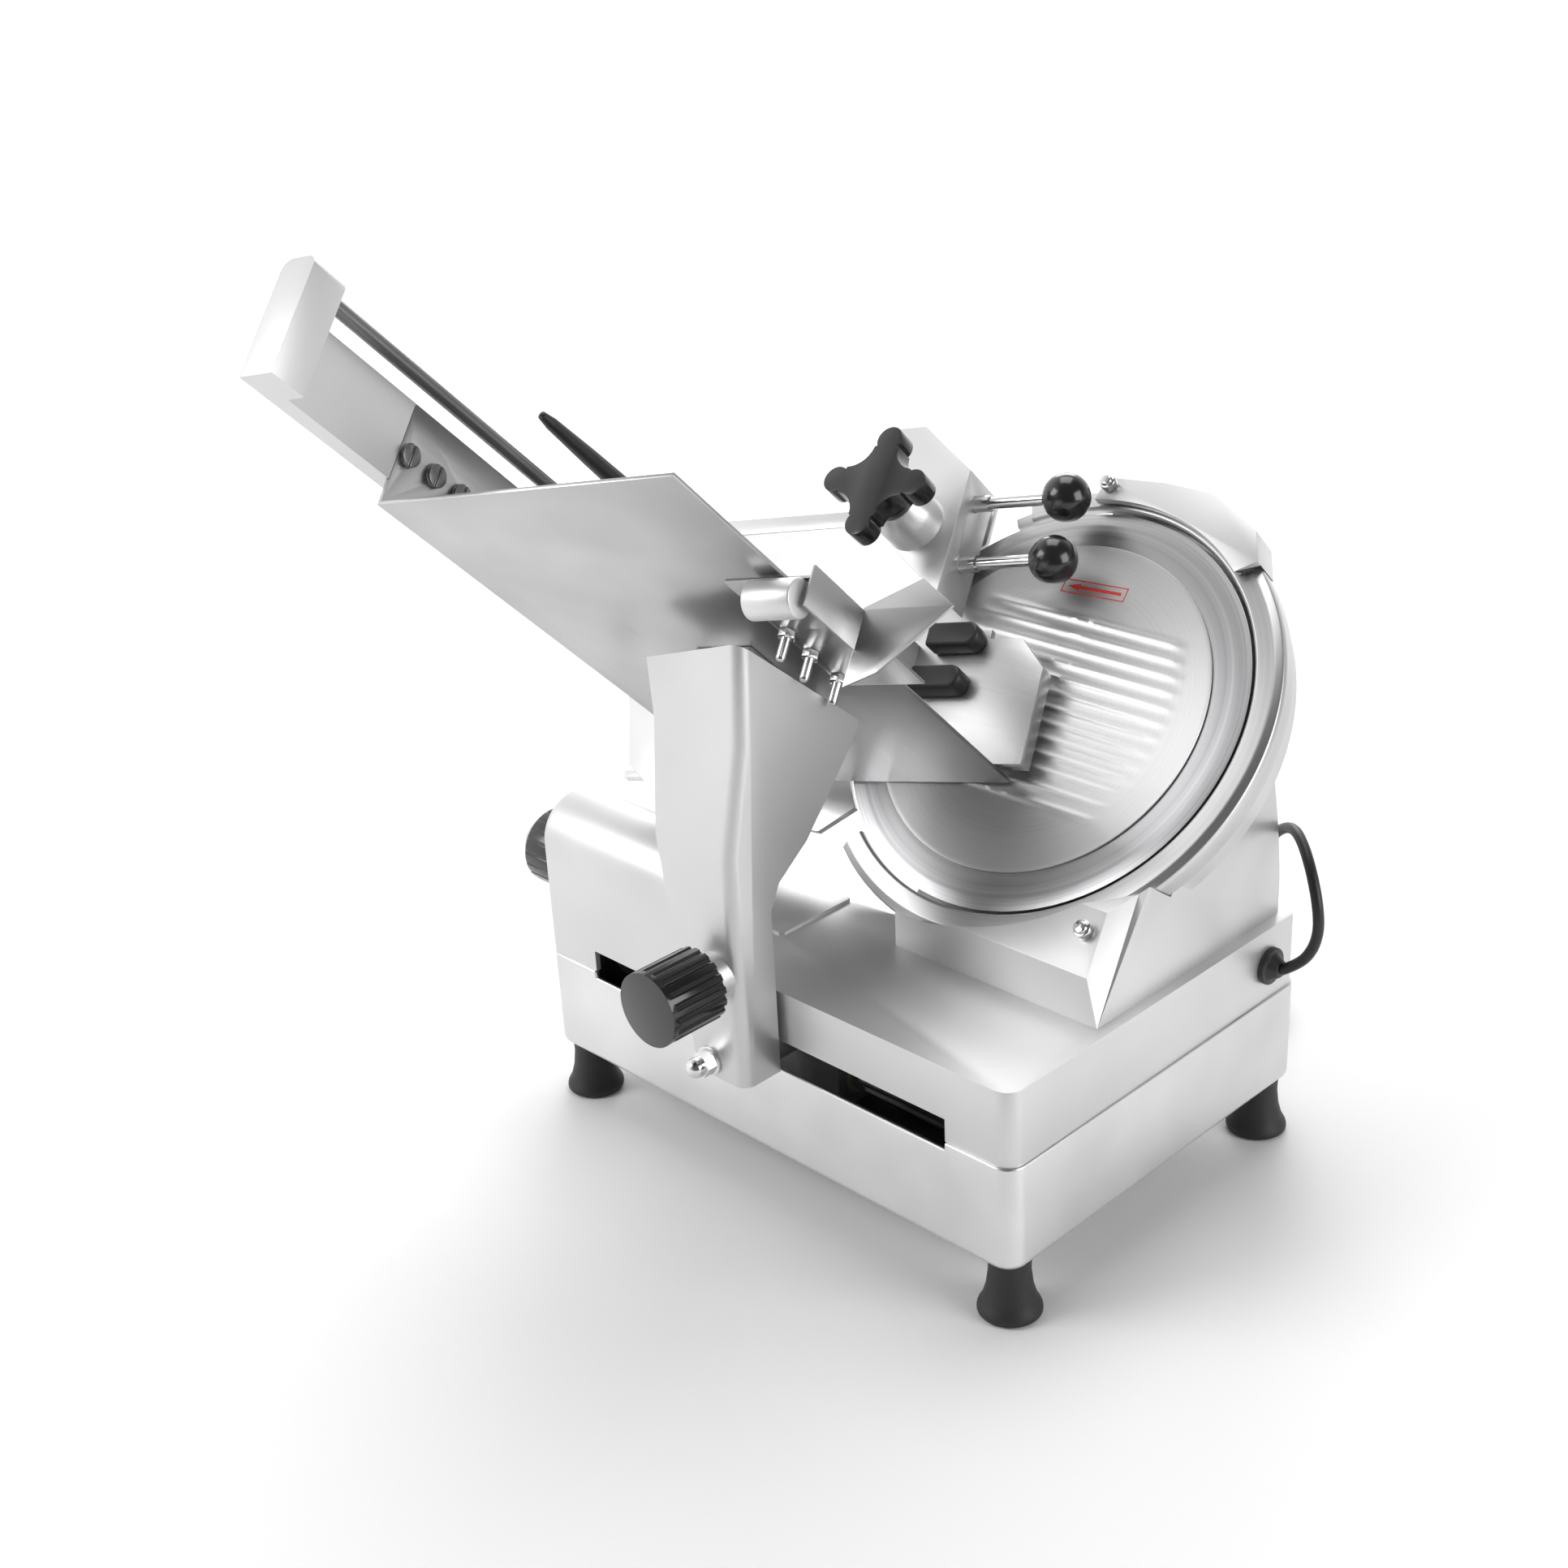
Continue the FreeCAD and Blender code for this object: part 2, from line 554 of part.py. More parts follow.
def guide_track():
    """Flat track for the roller, with the two end plates that also hold the rail."""
    track = box(-206, 206, -46, -26, TRACK_TOP_Z - 12, TRACK_TOP_Z)
    ends = [box(x, x + 6.9, RAIL_Y - 18, -22, FOOT_HEIGHT + WALL + 0.1, RAIL_Z + 18) for x in (-212.9, 206)]
    rod_lug = on_blade(box(-258, -221, -255, -235, -58, -42).cut(guide_rod_solid(GUIDE_ROD_RADIUS + 0.02)))
    return track, ends[0].fuse(rod_lug), ends[1]


def guide_roller():
    centre_z = TRACK_TOP_Z + 0.3 + ROLLER_RADIUS
    return rod(ROLLER_RADIUS, V(0, -42, centre_z), V(0, -30, centre_z)).cut(
        rod(4 + RUN_FIT, V(0, -50, centre_z), V(0, -20, centre_z)))


def carriage_block():
    """Casting that slides on the rail and reaches out through the front slot."""
    centre_z = TRACK_TOP_Z + 0.3 + ROLLER_RADIUS
    block = box(-38, 38, RAIL_Y - 22, RAIL_Y + 22, RAIL_Z - 20, RAIL_Z + 20)
    neck = box(-16, 16, RAIL_Y - 22, RAIL_Y - 4, RAIL_Z + 10, 132)
    bridge = box(-16, 16, ARM_BACK_Y, RAIL_Y - 4, SLOT_Z0 + 2, 132)
    tail = box(-14, 14, RAIL_Y + 20, -44, centre_z - 9, centre_z + 9)
    axle = rod(4, V(0, -46, centre_z), V(0, -28, centre_z))
    body = block.fuse([neck, bridge, tail, axle])
    body = body.cut(rod(14, V(-50, RAIL_Y, RAIL_Z), V(50, RAIL_Y, RAIL_Z)))
    return body.cut(rod(4.2, ARM_BOLT_AT + V(0, ARM_BACK_Y - 1, 0), ARM_BOLT_AT + V(0, ARM_BACK_Y + 30, 0)))


def carriage_bushings():
    return [rod(13.98, V(x, RAIL_Y, RAIL_Z), V(x + 18, RAIL_Y, RAIL_Z)).cut(
        rod(RAIL_RADIUS + RUN_FIT, V(x - 1, RAIL_Y, RAIL_Z), V(x + 19, RAIL_Y, RAIL_Z))) for x in (-38, 20)]


ARM_TOP = (V(26, -172, 416), V(26, -73, 335), V(-57.6, -172, 387))


def arm_outline(x, inset=0.0):
    """Side outline of the arm, pulled in all round by the inset."""
    points = [(-190, 114), (ARM_BACK_Y, 114), (ARM_BACK_Y, 232), (-150, 249), (-124, 268.5), (-97, 300),
              (-73, 330), (-73, 420), (-172, 420), (-176, 350), (-191, 278)]
    return Part.Face(Part.makePolygon([V(x, y, z) for y, z in points + points[:1]]))


def arm_blank(x0, x1):
    """Arm wedge before it is hollowed: widens towards the sloped top that carries the tray."""
    body = arm_outline(x0).extrude(V(x1 - x0, 0, 0))
    top_normal = (ARM_TOP[1] - ARM_TOP[0]).cross(ARM_TOP[2] - ARM_TOP[0])
    top_normal = top_normal if top_normal.z > 0 else top_normal.negative()
    return body.cut(half_space(ARM_TOP[0], top_normal))


def carriage_arm():
    """Hollow casting outside the slot that carries the tray, open to the back and below the tray."""
    lean = V(-189, 0, -26.6)
    body = arm_blank(-80, ARM_RIGHT_X).cut(half_space(V(-30.5, 0, 198), lean))
    front = lambda e: e.BoundBox.XMin > 20 and e.BoundBox.YMax < -171 and e.BoundBox.ZLength > 40
    body = rounded(body, 9.0, front)
    wall = 5.0
    room = box(-90, ARM_RIGHT_X - wall, -188 + wall, -60, 240, 420)
    room = room.cut(half_space(V(-30.5 + wall, 0, 198), lean))
    room = room.cut(half_space(V(0, -178 + wall, 350), V(0, -1, 0.02)))
    open_back = room.common(half_space(V(0, -164, 262), V(0, 0.72, 0.69)))
    top_normal = (ARM_TOP[1] - ARM_TOP[0]).cross(ARM_TOP[2] - ARM_TOP[0])
    top_normal = top_normal if top_normal.z > 0 else top_normal.negative()
    open_back = open_back.cut(half_space(ARM_TOP[0] - top_normal.normalize() * 8, top_normal))
    body = body.cut(open_back)
    boss = rod(16, V(KNOB_AT.x, -186, KNOB_AT.z), V(KNOB_AT.x, -204, KNOB_AT.z))
    body = body.fuse(boss)
    body = body.cut(rod(5.05, V(KNOB_AT.x, -220, KNOB_AT.z), V(KNOB_AT.x, -150, KNOB_AT.z)))
    return body.cut(rod(4.2, ARM_BOLT_AT + V(0, -230, 0), ARM_BOLT_AT + V(0, -150, 0)))


def arm_bolt():
    """Bolt through the foot of the arm, closed by a domed nut."""
    shank = rod(4, ARM_BOLT_AT + V(0, -195, 0), ARM_BOLT_AT + V(0, ARM_BACK_Y + 28, 0))
    nut = hexagon(15, 0, 8).fuse(disc(6.8, 8, 11)).fuse(ball(6.8, V(0, 0, 11)))
    nut = nut.common(disc(9, 0, 18))
    nut.Placement = FreeCAD.Placement(ARM_BOLT_AT + V(0, -191.8, 0), FreeCAD.Rotation(Z_AXIS, V(0, -1, 0)))
    washer = rod(10, ARM_BOLT_AT + V(0, -190.2, 0), ARM_BOLT_AT + V(0, -191.8, 0))
    return shank.fuse([nut, washer])


def carriage_knob():
    """Fluted black knob on a threaded stud that locks the arm to the carriage."""
    front = V(KNOB_AT.x, -249, KNOB_AT.z)
    back = V(KNOB_AT.x, -204.6, KNOB_AT.z)
    knob = rod(25, front, back)
    for step in range(18):
        around = polar(26.0, 20.0 * step)
        at = V(around.x, 0, around.y)
        knob = knob.cut(rod(2.6, front + at + V(0, 4, 0), back + at + V(0, 1, 0)))
    return knob.cut(rod(5.0, V(KNOB_AT.x, -240, KNOB_AT.z), back + V(0, 1, 0)))


# ---- tray, rod and pusher, drawn in the tray frame
def tray_mount():
    """Wedge between the arm's sloped top and the tray floor, and the round bumper under the floor's edge."""
    block = on_tray(box(-122, -78, -45, 0, 128, 205))
    top_normal = (ARM_TOP[1] - ARM_TOP[0]).cross(ARM_TOP[2] - ARM_TOP[0])
    top_normal = top_normal if top_normal.z > 0 else top_normal.negative()
    bumper = rod(12, V(-18, -14.4, 285), V(16, -14.4, 285))
    return block.common(half_space(ARM_TOP[0], top_normal)), on_tray(bumper)


def product_tray():
    """Folded sheet: floor, fence and a narrow lip at the fence's foot."""
    floor = box(-TRAY_WIDTH, 0, 0, FLOOR, FLOOR_START, TRAY_LENGTH)
    fence = box(-TRAY_WIDTH, -TRAY_WIDTH + FLOOR, 0, FENCE_TOP, FLOOR_START, TRAY_LENGTH)
    for n in BRACKET_SCREW_N:
        fence = fence.cut(rod(2.6, V(-240, BRACKET_SCREW_T, n), V(-220, BRACKET_SCREW_T, n)))
    return on_tray(floor.fuse(fence))


def mount_bolts():
    """Three studs with nuts beside the mount, which clamp the guard and the floor to it."""
    pieces = []
    for n in MOUNT_BOLT_N:
        centre = V(MOUNT_BOLT_W, 0, n)
        shank = rod(3, centre + V(0, -20, 0), centre)
        nut = hexagon(10, 0, 5)
        nut.Placement = FreeCAD.Placement(centre + V(0, -1.9, 0), FreeCAD.Rotation(Z_AXIS, V(0, -1, 0)))
        end = cone(3, 2.2, centre + V(0, -20, 0), centre + V(0, -22, 0))
        pieces.append(on_tray(shank.fuse([nut, end])))
    return pieces


def hand_guard():
    """Folded sheet beside the tray: a tab bolted under the floor, an upright strip and a wing turned outward."""
    sheet = 1.6
    w0, t0, n0 = GUARD_FOLD.x, GUARD_FOLD.y, GUARD_FOLD.z
    tab = box(-42, w0, -0.3 - sheet, -0.3, 152, n0 + 55)
    for n in MOUNT_BOLT_N:
        tab = tab.cut(rod(3.05, V(MOUNT_BOLT_W, -5, n), V(MOUNT_BOLT_W, 1, n)))
    strip = box(w0, w0 + sheet, t0 - 4, t0 + 22, n0, n0 + 55)
    wing = slab([(0, -28), (0, 24), (37, 42), (62, 23), (21, -19)], 0, sheet)
    wing.translate(V(w0, t0, n0 - sheet))
    return on_tray(tab.fuse([strip, wing]))


def rod_brackets():
    """Bar beyond the fence with the cap that holds the rod, and the foot that holds its lower end."""
    face = -TRAY_WIDTH + FLOOR
    bar = box(-240, face, 18, 71, TRAY_LENGTH + 0.3, CAP_START_N)
    tongue = box(-240, -TRAY_WIDTH - 0.1, 18, 71, 320, TRAY_LENGTH + 0.3)
    cap = box(-240, ROD_AT.x + 9, 18, 98, CAP_START_N, ROD_END_N)
    cap = rounded(cap, 8.0, lambda e: e.BoundBox.ZLength > 20 and e.BoundBox.YMin > 90)
    upper = bar.fuse([tongue, cap])
    foot_bar = box(face + 0.1, -214, 40, 96, 10, 24)
    hole = rod(ROD_RADIUS + 0.02, V(ROD_AT.x, ROD_AT.y, 12), V(ROD_AT.x, ROD_AT.y, ROD_END_N - 8))
    upper = upper.cut(hole)
    for n in BRACKET_SCREW_N:
        upper = upper.cut(rod(2.6, V(-241, BRACKET_SCREW_T, n), V(-220, BRACKET_SCREW_T, n)))
    return on_tray(upper), on_tray(foot_bar.cut(hole))


def bracket_screws():
    """Slotted screws through the bracket and the fence."""
    pieces = []
    for n in BRACKET_SCREW_N:
        under = V(-TRAY_WIDTH + FLOOR + 0.05, BRACKET_SCREW_T, n)
        head = rod(7.5, under, under + V(3.0, 0, 0)).fuse(rod(2.5, under - V(13, 0, 0), under))
        slot = box(under.x + 2.0, under.x + 4, under.y - 8, under.y + 8, n - 0.8, n + 0.8)
        pieces.append(on_tray(head.cut(slot)))
    return pieces


def slide_rod():
    return on_tray(rod(ROD_RADIUS, V(ROD_AT.x, ROD_AT.y, 12), V(ROD_AT.x, ROD_AT.y, ROD_END_N - 8)))


def pusher_bush():
    start = V(ROD_AT.x, ROD_AT.y, PUSHER_START_N)
    end = V(ROD_AT.x, ROD_AT.y, PUSHER_END_N)
    body = rod(8, start, end).fuse([rod(10, start, start + V(0, 0, 2)), rod(10, end - V(0, 0, 2), end)])
    return on_tray(body.cut(rod(ROD_RADIUS + RUN_FIT, start - Z_AXIS, end + Z_AXIS)))


def pusher_arm():
    """Hub on the bush with the arm that reaches across the tray to the pusher plate."""
    low, high = PUSHER_START_N + 2.1, PUSHER_END_N - 2.1
    hub = rod(12.4, V(ROD_AT.x, ROD_AT.y, low), V(ROD_AT.x, ROD_AT.y, high))
    arm = box(-216, -86, 86, 96, 30, 52)
    drop = box(-100, -86, 60, 96, PLATE_N + 5, 52)
    grip_post = box(-228, -214, 92, 122, 44, 72)
    body = hub.fuse([arm, drop, grip_post])
    body = body.cut(rod(8 + RUN_FIT, V(ROD_AT.x, ROD_AT.y, 20), V(ROD_AT.x, ROD_AT.y, 90)))
    return on_tray(body)


def pusher_plate():
    """Grey end plate with a bent flange on its right side and gripping teeth underneath."""
    outline = [(-112, 5), (17, 5), (17, 76), (-5, 100), (-30, 100), (-30, 107), (-80, 107), (-80, 100), (-112, 100)]
    plate = slab(outline, PLATE_N, PLATE_N + 5)
    flange = slab([(5, 6), (17, 6), (17, 76), (5, 89)], PLATE_N - 8, PLATE_N)
    plate = plate.fuse(flange)
    for column in range(4):
        for row in range(3):
            at = V(-98 + column * 26, 22 + row * 26, PLATE_N)
            plate = plate.fuse(cone(3, 0.6, at + V(0, 0, 0.5), at - V(0, 0, 6.5)))
    return on_tray(plate)


def pusher_pads():
    """Two round-ended black blocks on the pusher plate."""
    pieces = []
    for w, t in ((-56.0, 64.0), (-50.0, 97.0)):
        bar = box(w - 22, w + 10, t - 9, t + 9, PLATE_N + 5, PLATE_N + 21)
        bar = bar.fuse(disc(9, PLATE_N + 5, PLATE_N + 21, V(w + 10, t, 0)))
        pieces.append(on_tray(bar))
    return pieces


def pusher_handle():
    """Long black grip above the rod, tapered to its tip."""
    profile = [(0, 72.2), (7, 72.2), (8, 80), (8, 150), (6, 250), (4.5, 292), (3, 302), (0, 304)]
    handle = turned(profile)
    handle.translate(V(ROD_AT.x, 122, 0))
    stem = disc(5, 40, 72.2, V(ROD_AT.x, 122, 0))
    return on_tray(handle.fuse(stem).cut(box(-229, -213, 90, 122.1, 43.9, 72.1)))


# ---- sharpener, drawn in the tray frame
def sharpener_body():
    """Housing over the blade's upper rim with the tube for the clamp knob."""
    outline = [(-66, 124), (-64, 223), (-112, 264), (-143, 264), (-143, 190), (-99, 150)]
    body = slab(outline, 8, 46)
    inner = slab([(-70, 136), (-69, 220), (-114, 259), (-138, 259), (-138, 194), (-97, 158)], 7, 42)
    centre = SHARPENER_AXIS
    tube = disc(22, 46, 62, centre).fuse(Part.makeCone(22, 15, 14, V(centre.x, centre.y, 62)))
    body = body.cut(inner).fuse(tube)
    for t, n in zip(LEVER_T, LEVER_N):
        body = body.cut(rod(6.1, V(-80, t, n), V(-50, t, n)))
    body = body.cut(disc(5.05, 30, 90, centre))
    post = box(-143, -112, 240, 264, -3, 8)
    pin = disc(3.95, 9, 44, STONE_AT)
    return on_tray(body.fuse([post, pin]))


def star_knob(centre, low, high):
    """Black knob with four rounded lobes and a hollow between each two."""
    knob = disc(29, low, high, centre)
    for step in range(4):
        lobe = polar(33, 90.0 * step - 7.0) + centre
        knob = knob.fuse(disc(10, low, high, lobe))
    for step in range(4):
        hollow = polar(40, 90.0 * step + 38.0) + centre
        knob = knob.cut(disc(18, low - 1, high + 1, hollow))
    return knob


def sharpener_knob():
    centre = SHARPENER_AXIS
    stem = Part.makeCone(12, 17, 14, V(centre.x, centre.y, 76.6))
    stud = disc(5, 48, 77, centre)
    return on_tray(star_knob(centre, 90, 106).fuse([stem, stud]))


def lever(t, n):
    """Push rod with its dark collar, through the right wall of the housing."""
    shaft = rod(4.5, V(-84, t, n), V(-6, t, n))
    collar = rod(6.0, V(-72, t, n), V(-52, t, n))
    return on_tray(shaft.fuse(collar))


def lever_ball(t, n):
    return on_tray(ball(17.2, V(8, t, n)).cut(rod(4.52, V(-12, t, n), V(-6, t, n))))


def stone(low, high):
    return on_tray(ring(21, 4, low, high, STONE_AT))


# ---- controls and cord
def switch_panel():
    x1 = -HALF_L + LEDGE_STEP
    plate = box(x1 - 2, x1, 22, 94, 128, 164)
    plate = rounded(plate, 6.0, lambda e: e.BoundBox.XLength > 1.9 and e.BoundBox.YLength < 0.1 and e.BoundBox.ZLength < 0.1)
    for y in BUTTON_Y:
        plate = plate.cut(rod(9.3, V(x1 - 5, y, BUTTON_Z), V(x1 + 5, y, BUTTON_Z)))
    return plate


def push_button(y):
    x1 = -HALF_L + LEDGE_STEP
    cap = rod(8.6, V(x1 + 8, y, BUTTON_Z), V(x1 - 7, y, BUTTON_Z))
    return cap.fuse(cone(8.6, 7.0, V(x1 - 7, y, BUTTON_Z), V(x1 - 8.6, y, BUTTON_Z)))


CORD_EXIT = V(226.0, 117.0, 143.5)
CORD_ROUTE = [
    CORD_EXIT, V(239.1, 117, 152.7), V(248.1, 117.3, 166), V(251.7, 117.6, 181.6), V(249.4, 118.6, 197.4),
    V(243, 122.6, 211.5), V(233.4, 130.3, 222), V(222, 140.4, 228), V(209.8, 151.3, 229.2), V(197.5, 160.8, 224.5),
    V(185.3, 167.2, 214.8), V(174.7, 171.1, 199.6), V(165.6, 174, 177.6), V(159, 176.4, 148.4), V(155.8, 179, 116.7),
    V(153.9, 182.8, 85), V(152.9, 188.6, 57.4), V(151.9, 197.6, 36), V(149.8, 211.5, 19.8), V(143.8, 231.5, 8.6),
    V(137.75, 250, 4),
]
COIL_CENTRE = V(91.0, 250.0, 0.0)
COIL_MEAN_RADIUS = 43.0


def cord_gland():
    """Black strain relief on the end face."""
    x1 = HALF_L - LEDGE_STEP
    collar = rod(13, V(x1, 117, 143.5), V(x1 + 4, 117, 143.5))
    neck = cone(10, 5.6, V(x1 + 4, 117, 143.5), V(CORD_EXIT.x, 117, 143.5))
    inside = rod(8.9, V(x1 - 9, 117, 143.5), V(x1, 117, 143.5))
    return collar.fuse([neck, inside])


def cord_tube(points, radius):
    """Straight runs joined by tangent arcs, each as large as its two runs allow."""
    edges = []
    last = points[0]
    for before, corner, after in zip(points, points[1:], points[2:]):
        into = corner - before
        out = after - corner
        turn = into.getAngle(out)
        reach = 0.45 * min(into.Length, out.Length)
        bend = reach / math.tan(turn / 2)
        into.normalize()
        out.normalize()
        start = corner - into * reach
        end = corner + out * reach
        inward = out - into
        inward.normalize()
        middle = corner + inward * (bend / math.cos(turn / 2) - bend)
        print("cord bend radius %.1f" % bend)
        edges.append(Part.LineSegment(last, start).toShape())
        edges.append(Part.Arc(start, middle, end).toShape())
        last = end
    edges.append(Part.LineSegment(last, points[-1]).toShape())
    path = Part.Wire(edges)
    profile = Part.Wire(Part.makeCircle(radius, points[0], points[1] - points[0]))
    tube = path.makePipeShell([profile], True, False)
    print("cord length %.1f, volume ratio %.4f" % (path.Length, tube.Volume / (math.pi * radius ** 2 * path.Length)))
    return tube


def cord_coil():
    """Outer shape of the four wound turns, two wide and two high."""
    half = 2 * CORD_RADIUS
    coil = disc(COIL_MEAN_RADIUS + half, 0, 15, COIL_CENTRE)
    return coil.cut(disc(COIL_MEAN_RADIUS - half, -1, 16, COIL_CENTRE))


def power_plug():
    """Moulded plug with two flat blades and an earth pin, lying beside the coil."""
    entry = V(COIL_CENTRE.x - 12, COIL_CENTRE.y + COIL_MEAN_RADIUS + CORD_RADIUS, 11.5)
    y, z = entry.y, entry.z
    relief = cone(4.2, 7, entry, V(entry.x - 28, y, z))
    body = box(entry.x - 66, entry.x - 28, y - 13, y + 13, z - 11.5, z + 11.5)
    body = rounded(body, 5.0, lambda e: e.BoundBox.XLength > 30)
    pins = [box(entry.x - 84, entry.x - 66, y + side - 0.8, y + side + 0.8, z - 3, z + 3) for side in (-6.3, 6.3)]
    pins.append(rod(2.4, V(entry.x - 66, y, z + 7), V(entry.x - 87, y, z + 7)))
    return relief.fuse([body] + pins)


def main():
    os.makedirs("parts", exist_ok=True)
    save("base_pan", base_pan())
    save("deck_housing", deck_housing())
    save("bottom_cover", bottom_cover())
    save("feet", *feet())
    save("motor_tower", motor_tower())
    save("ring_guard", ring_guard())
    save("guard_top_cap", on_blade(guard_top_cap()))
    save("guard_screws", *guard_screws())
    save("slice_deflector", slice_deflector())
    save("blade", blade())
    save("blade_cover", blade_cover())
    save("cover_tie_rod", cover_tie_rod())
    save("cover_release_knob", cover_release_knob())
    save("spindle", spindle())
    save("spindle_bearings", *spindle_bearings())
    save("driven_pulley", grooved_pulley(DRIVEN_RADIUS, SPINDLE_RADIUS + 0.02, V(0, 0, 0)))
    save("motor_pulley", grooved_pulley(MOTOR_PULLEY_RADIUS, 7.02, MOTOR_AT))
    save("drive_belt", drive_belt())
    save("motor", motor())
    save("motor_rotor", *motor_rotor())
    save("gauge_plate", gauge_plate())
    save("gauge_support", gauge_support())
    save("gauge_guide_rod", gauge_guide_rod())
    save("index_knob", index_knob())
    save("index_cam", index_cam())
    save("carriage_rail", carriage_rail())
    save("guide_track", *guide_track())
    save("guide_roller", guide_roller())
    save("carriage_block", carriage_block())
    save("carriage_bushings", *carriage_bushings())
    save("carriage_arm", carriage_arm())
    save("arm_bolt", arm_bolt())
    save("carriage_knob", carriage_knob())
    save("tray_mount", *tray_mount())
    save("product_tray", product_tray())
    save("mount_bolts", *mount_bolts())
    save("hand_guard", hand_guard())
    save("rod_brackets", *rod_brackets())
    save("bracket_screws", *bracket_screws())
    save("slide_rod", slide_rod())
    save("pusher_bush", pusher_bush())
    save("pusher_arm", pusher_arm())
    save("pusher_plate", pusher_plate())
    save("pusher_pads", *pusher_pads())
    save("pusher_handle", pusher_handle())
    save("sharpener_body", sharpener_body())
    save("sharpener_knob", sharpener_knob())
    for name, t, n in zip(("grind", "deburr"), LEVER_T, LEVER_N):
        save(name + "_lever", lever(t, n))
        save(name + "_ball", lever_ball(t, n))
    save("grinding_stone", stone(10, 15))
    save("deburr_stone", stone(17, 22))
    save("switch_panel", switch_panel())
    for name, y in zip(("start_button", "stop_button"), BUTTON_Y):
        save(name, push_button(y))
    save("cord_gland", cord_gland())
    save("power_cord", cord_tube(CORD_ROUTE, CORD_RADIUS))
    save("cord_coil", cord_coil())
    save("power_plug", power_plug())


main()
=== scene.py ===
"""Looks of the deli meat slicer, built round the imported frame. Lengths are in metres.

BLADE is the blade's own frame: x along the machine, y up the blade, z out of its face.
TRAY is the tray's frame: x across its floor, y up from the floor, z away from the blade.
"""
import bpy
import bmesh
import json
import math
from mathutils import Matrix, Vector

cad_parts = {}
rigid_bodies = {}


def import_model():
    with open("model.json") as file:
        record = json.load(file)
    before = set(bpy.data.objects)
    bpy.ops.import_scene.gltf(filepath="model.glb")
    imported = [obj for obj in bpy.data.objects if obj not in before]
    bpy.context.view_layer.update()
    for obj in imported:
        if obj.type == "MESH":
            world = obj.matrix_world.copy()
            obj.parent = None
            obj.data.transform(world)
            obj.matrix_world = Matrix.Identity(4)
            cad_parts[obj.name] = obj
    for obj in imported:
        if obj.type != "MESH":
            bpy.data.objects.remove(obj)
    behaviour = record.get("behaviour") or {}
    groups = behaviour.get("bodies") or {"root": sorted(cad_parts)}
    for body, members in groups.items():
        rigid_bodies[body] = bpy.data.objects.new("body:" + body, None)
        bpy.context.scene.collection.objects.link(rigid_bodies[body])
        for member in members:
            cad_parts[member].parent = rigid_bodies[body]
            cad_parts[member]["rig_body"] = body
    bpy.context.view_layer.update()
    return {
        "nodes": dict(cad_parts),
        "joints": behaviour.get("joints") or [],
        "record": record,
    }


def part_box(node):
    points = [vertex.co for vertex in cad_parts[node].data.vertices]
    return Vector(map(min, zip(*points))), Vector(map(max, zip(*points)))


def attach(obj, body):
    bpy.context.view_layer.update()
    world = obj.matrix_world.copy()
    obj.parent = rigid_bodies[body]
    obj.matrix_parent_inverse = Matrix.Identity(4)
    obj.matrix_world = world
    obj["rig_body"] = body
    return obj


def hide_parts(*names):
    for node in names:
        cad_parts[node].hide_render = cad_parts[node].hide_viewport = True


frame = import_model()
NODES = frame["nodes"]
MM = 0.001
BLADE_TILT = math.radians(45.0)
CROSS_TILT = math.radians(16.0)


def node_centre(node):
    low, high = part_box(node)
    return (low + high) / 2


BASE = Vector((node_centre("base_pan").x, node_centre("base_pan").y, 0.0))
JOINTS = {joint["name"]: joint for joint in frame["joints"]}
BLADE = Matrix.Translation(JOINTS["blade_spin"]["pos_m"]) @ Matrix.Rotation(BLADE_TILT, 4, "X")
TRAY_CORNER = Vector((9.2, -59.7, 4.0)) * MM
TRAY = BLADE @ Matrix.Translation(TRAY_CORNER) @ Matrix.Rotation(CROSS_TILT, 4, "Z")


def at_base(x, y, z):
    """A point given in millimetres from the centre of the base."""
    return BASE + Vector((x, y, z)) * MM


# ---- camera
CAMERA_AT = (894.3, -972.4, 856.9)
CAMERA_AZIMUTH = math.radians(46.25)
CAMERA_ELEVATION = math.radians(24.3)
CAMERA_ROLL = math.radians(-3.06)
CAMERA_LENS = 48.9


def add_camera():
    data = bpy.data.cameras.new("camera")
    data.lens = CAMERA_LENS
    data.sensor_width = 36.0
    data.clip_end = 50.0
    camera = bpy.data.objects.new("camera", data)
    turn = (Matrix.Rotation(CAMERA_AZIMUTH, 4, "Z") @ Matrix.Rotation(math.pi / 2 - CAMERA_ELEVATION, 4, "X")
            @ Matrix.Rotation(CAMERA_ROLL, 4, "Z"))
    camera.matrix_world = Matrix.Translation(at_base(*CAMERA_AT)) @ turn
    bpy.context.scene.collection.objects.link(camera)
    bpy.context.scene.camera = camera


add_camera()


# ---- materials
def new_material(name):
    material = bpy.data.materials.new(name)
    material.use_nodes = True
    return material, material.node_tree, material.node_tree.nodes["Principled BSDF"]


def add_node(tree, kind, **settings):
    node = tree.nodes.new(kind)
    for key, value in settings.items():
        if key in node.inputs:
            node.inputs[key].default_value = value
        else:
            setattr(node, key, value)
    return node


def stretched_noise(tree, space, stretch, scale, detail=3.0):
    """Noise drawn out along one direction, in object space turned by a frame's rotation."""
    coords = add_node(tree, "ShaderNodeTexCoord")
    mapping = add_node(tree, "ShaderNodeMapping", vector_type="TEXTURE")
    mapping.inputs["Rotation"].default_value = space.to_euler()
    mapping.inputs["Scale"].default_value = stretch
    noise = add_node(tree, "ShaderNodeTexNoise", Scale=scale, Detail=detail, Roughness=0.6)
    tree.links.new(coords.outputs["Object"], mapping.inputs["Vector"])
    tree.links.new(mapping.outputs["Vector"], noise.inputs["Vector"])
    return noise.outputs["Fac"]


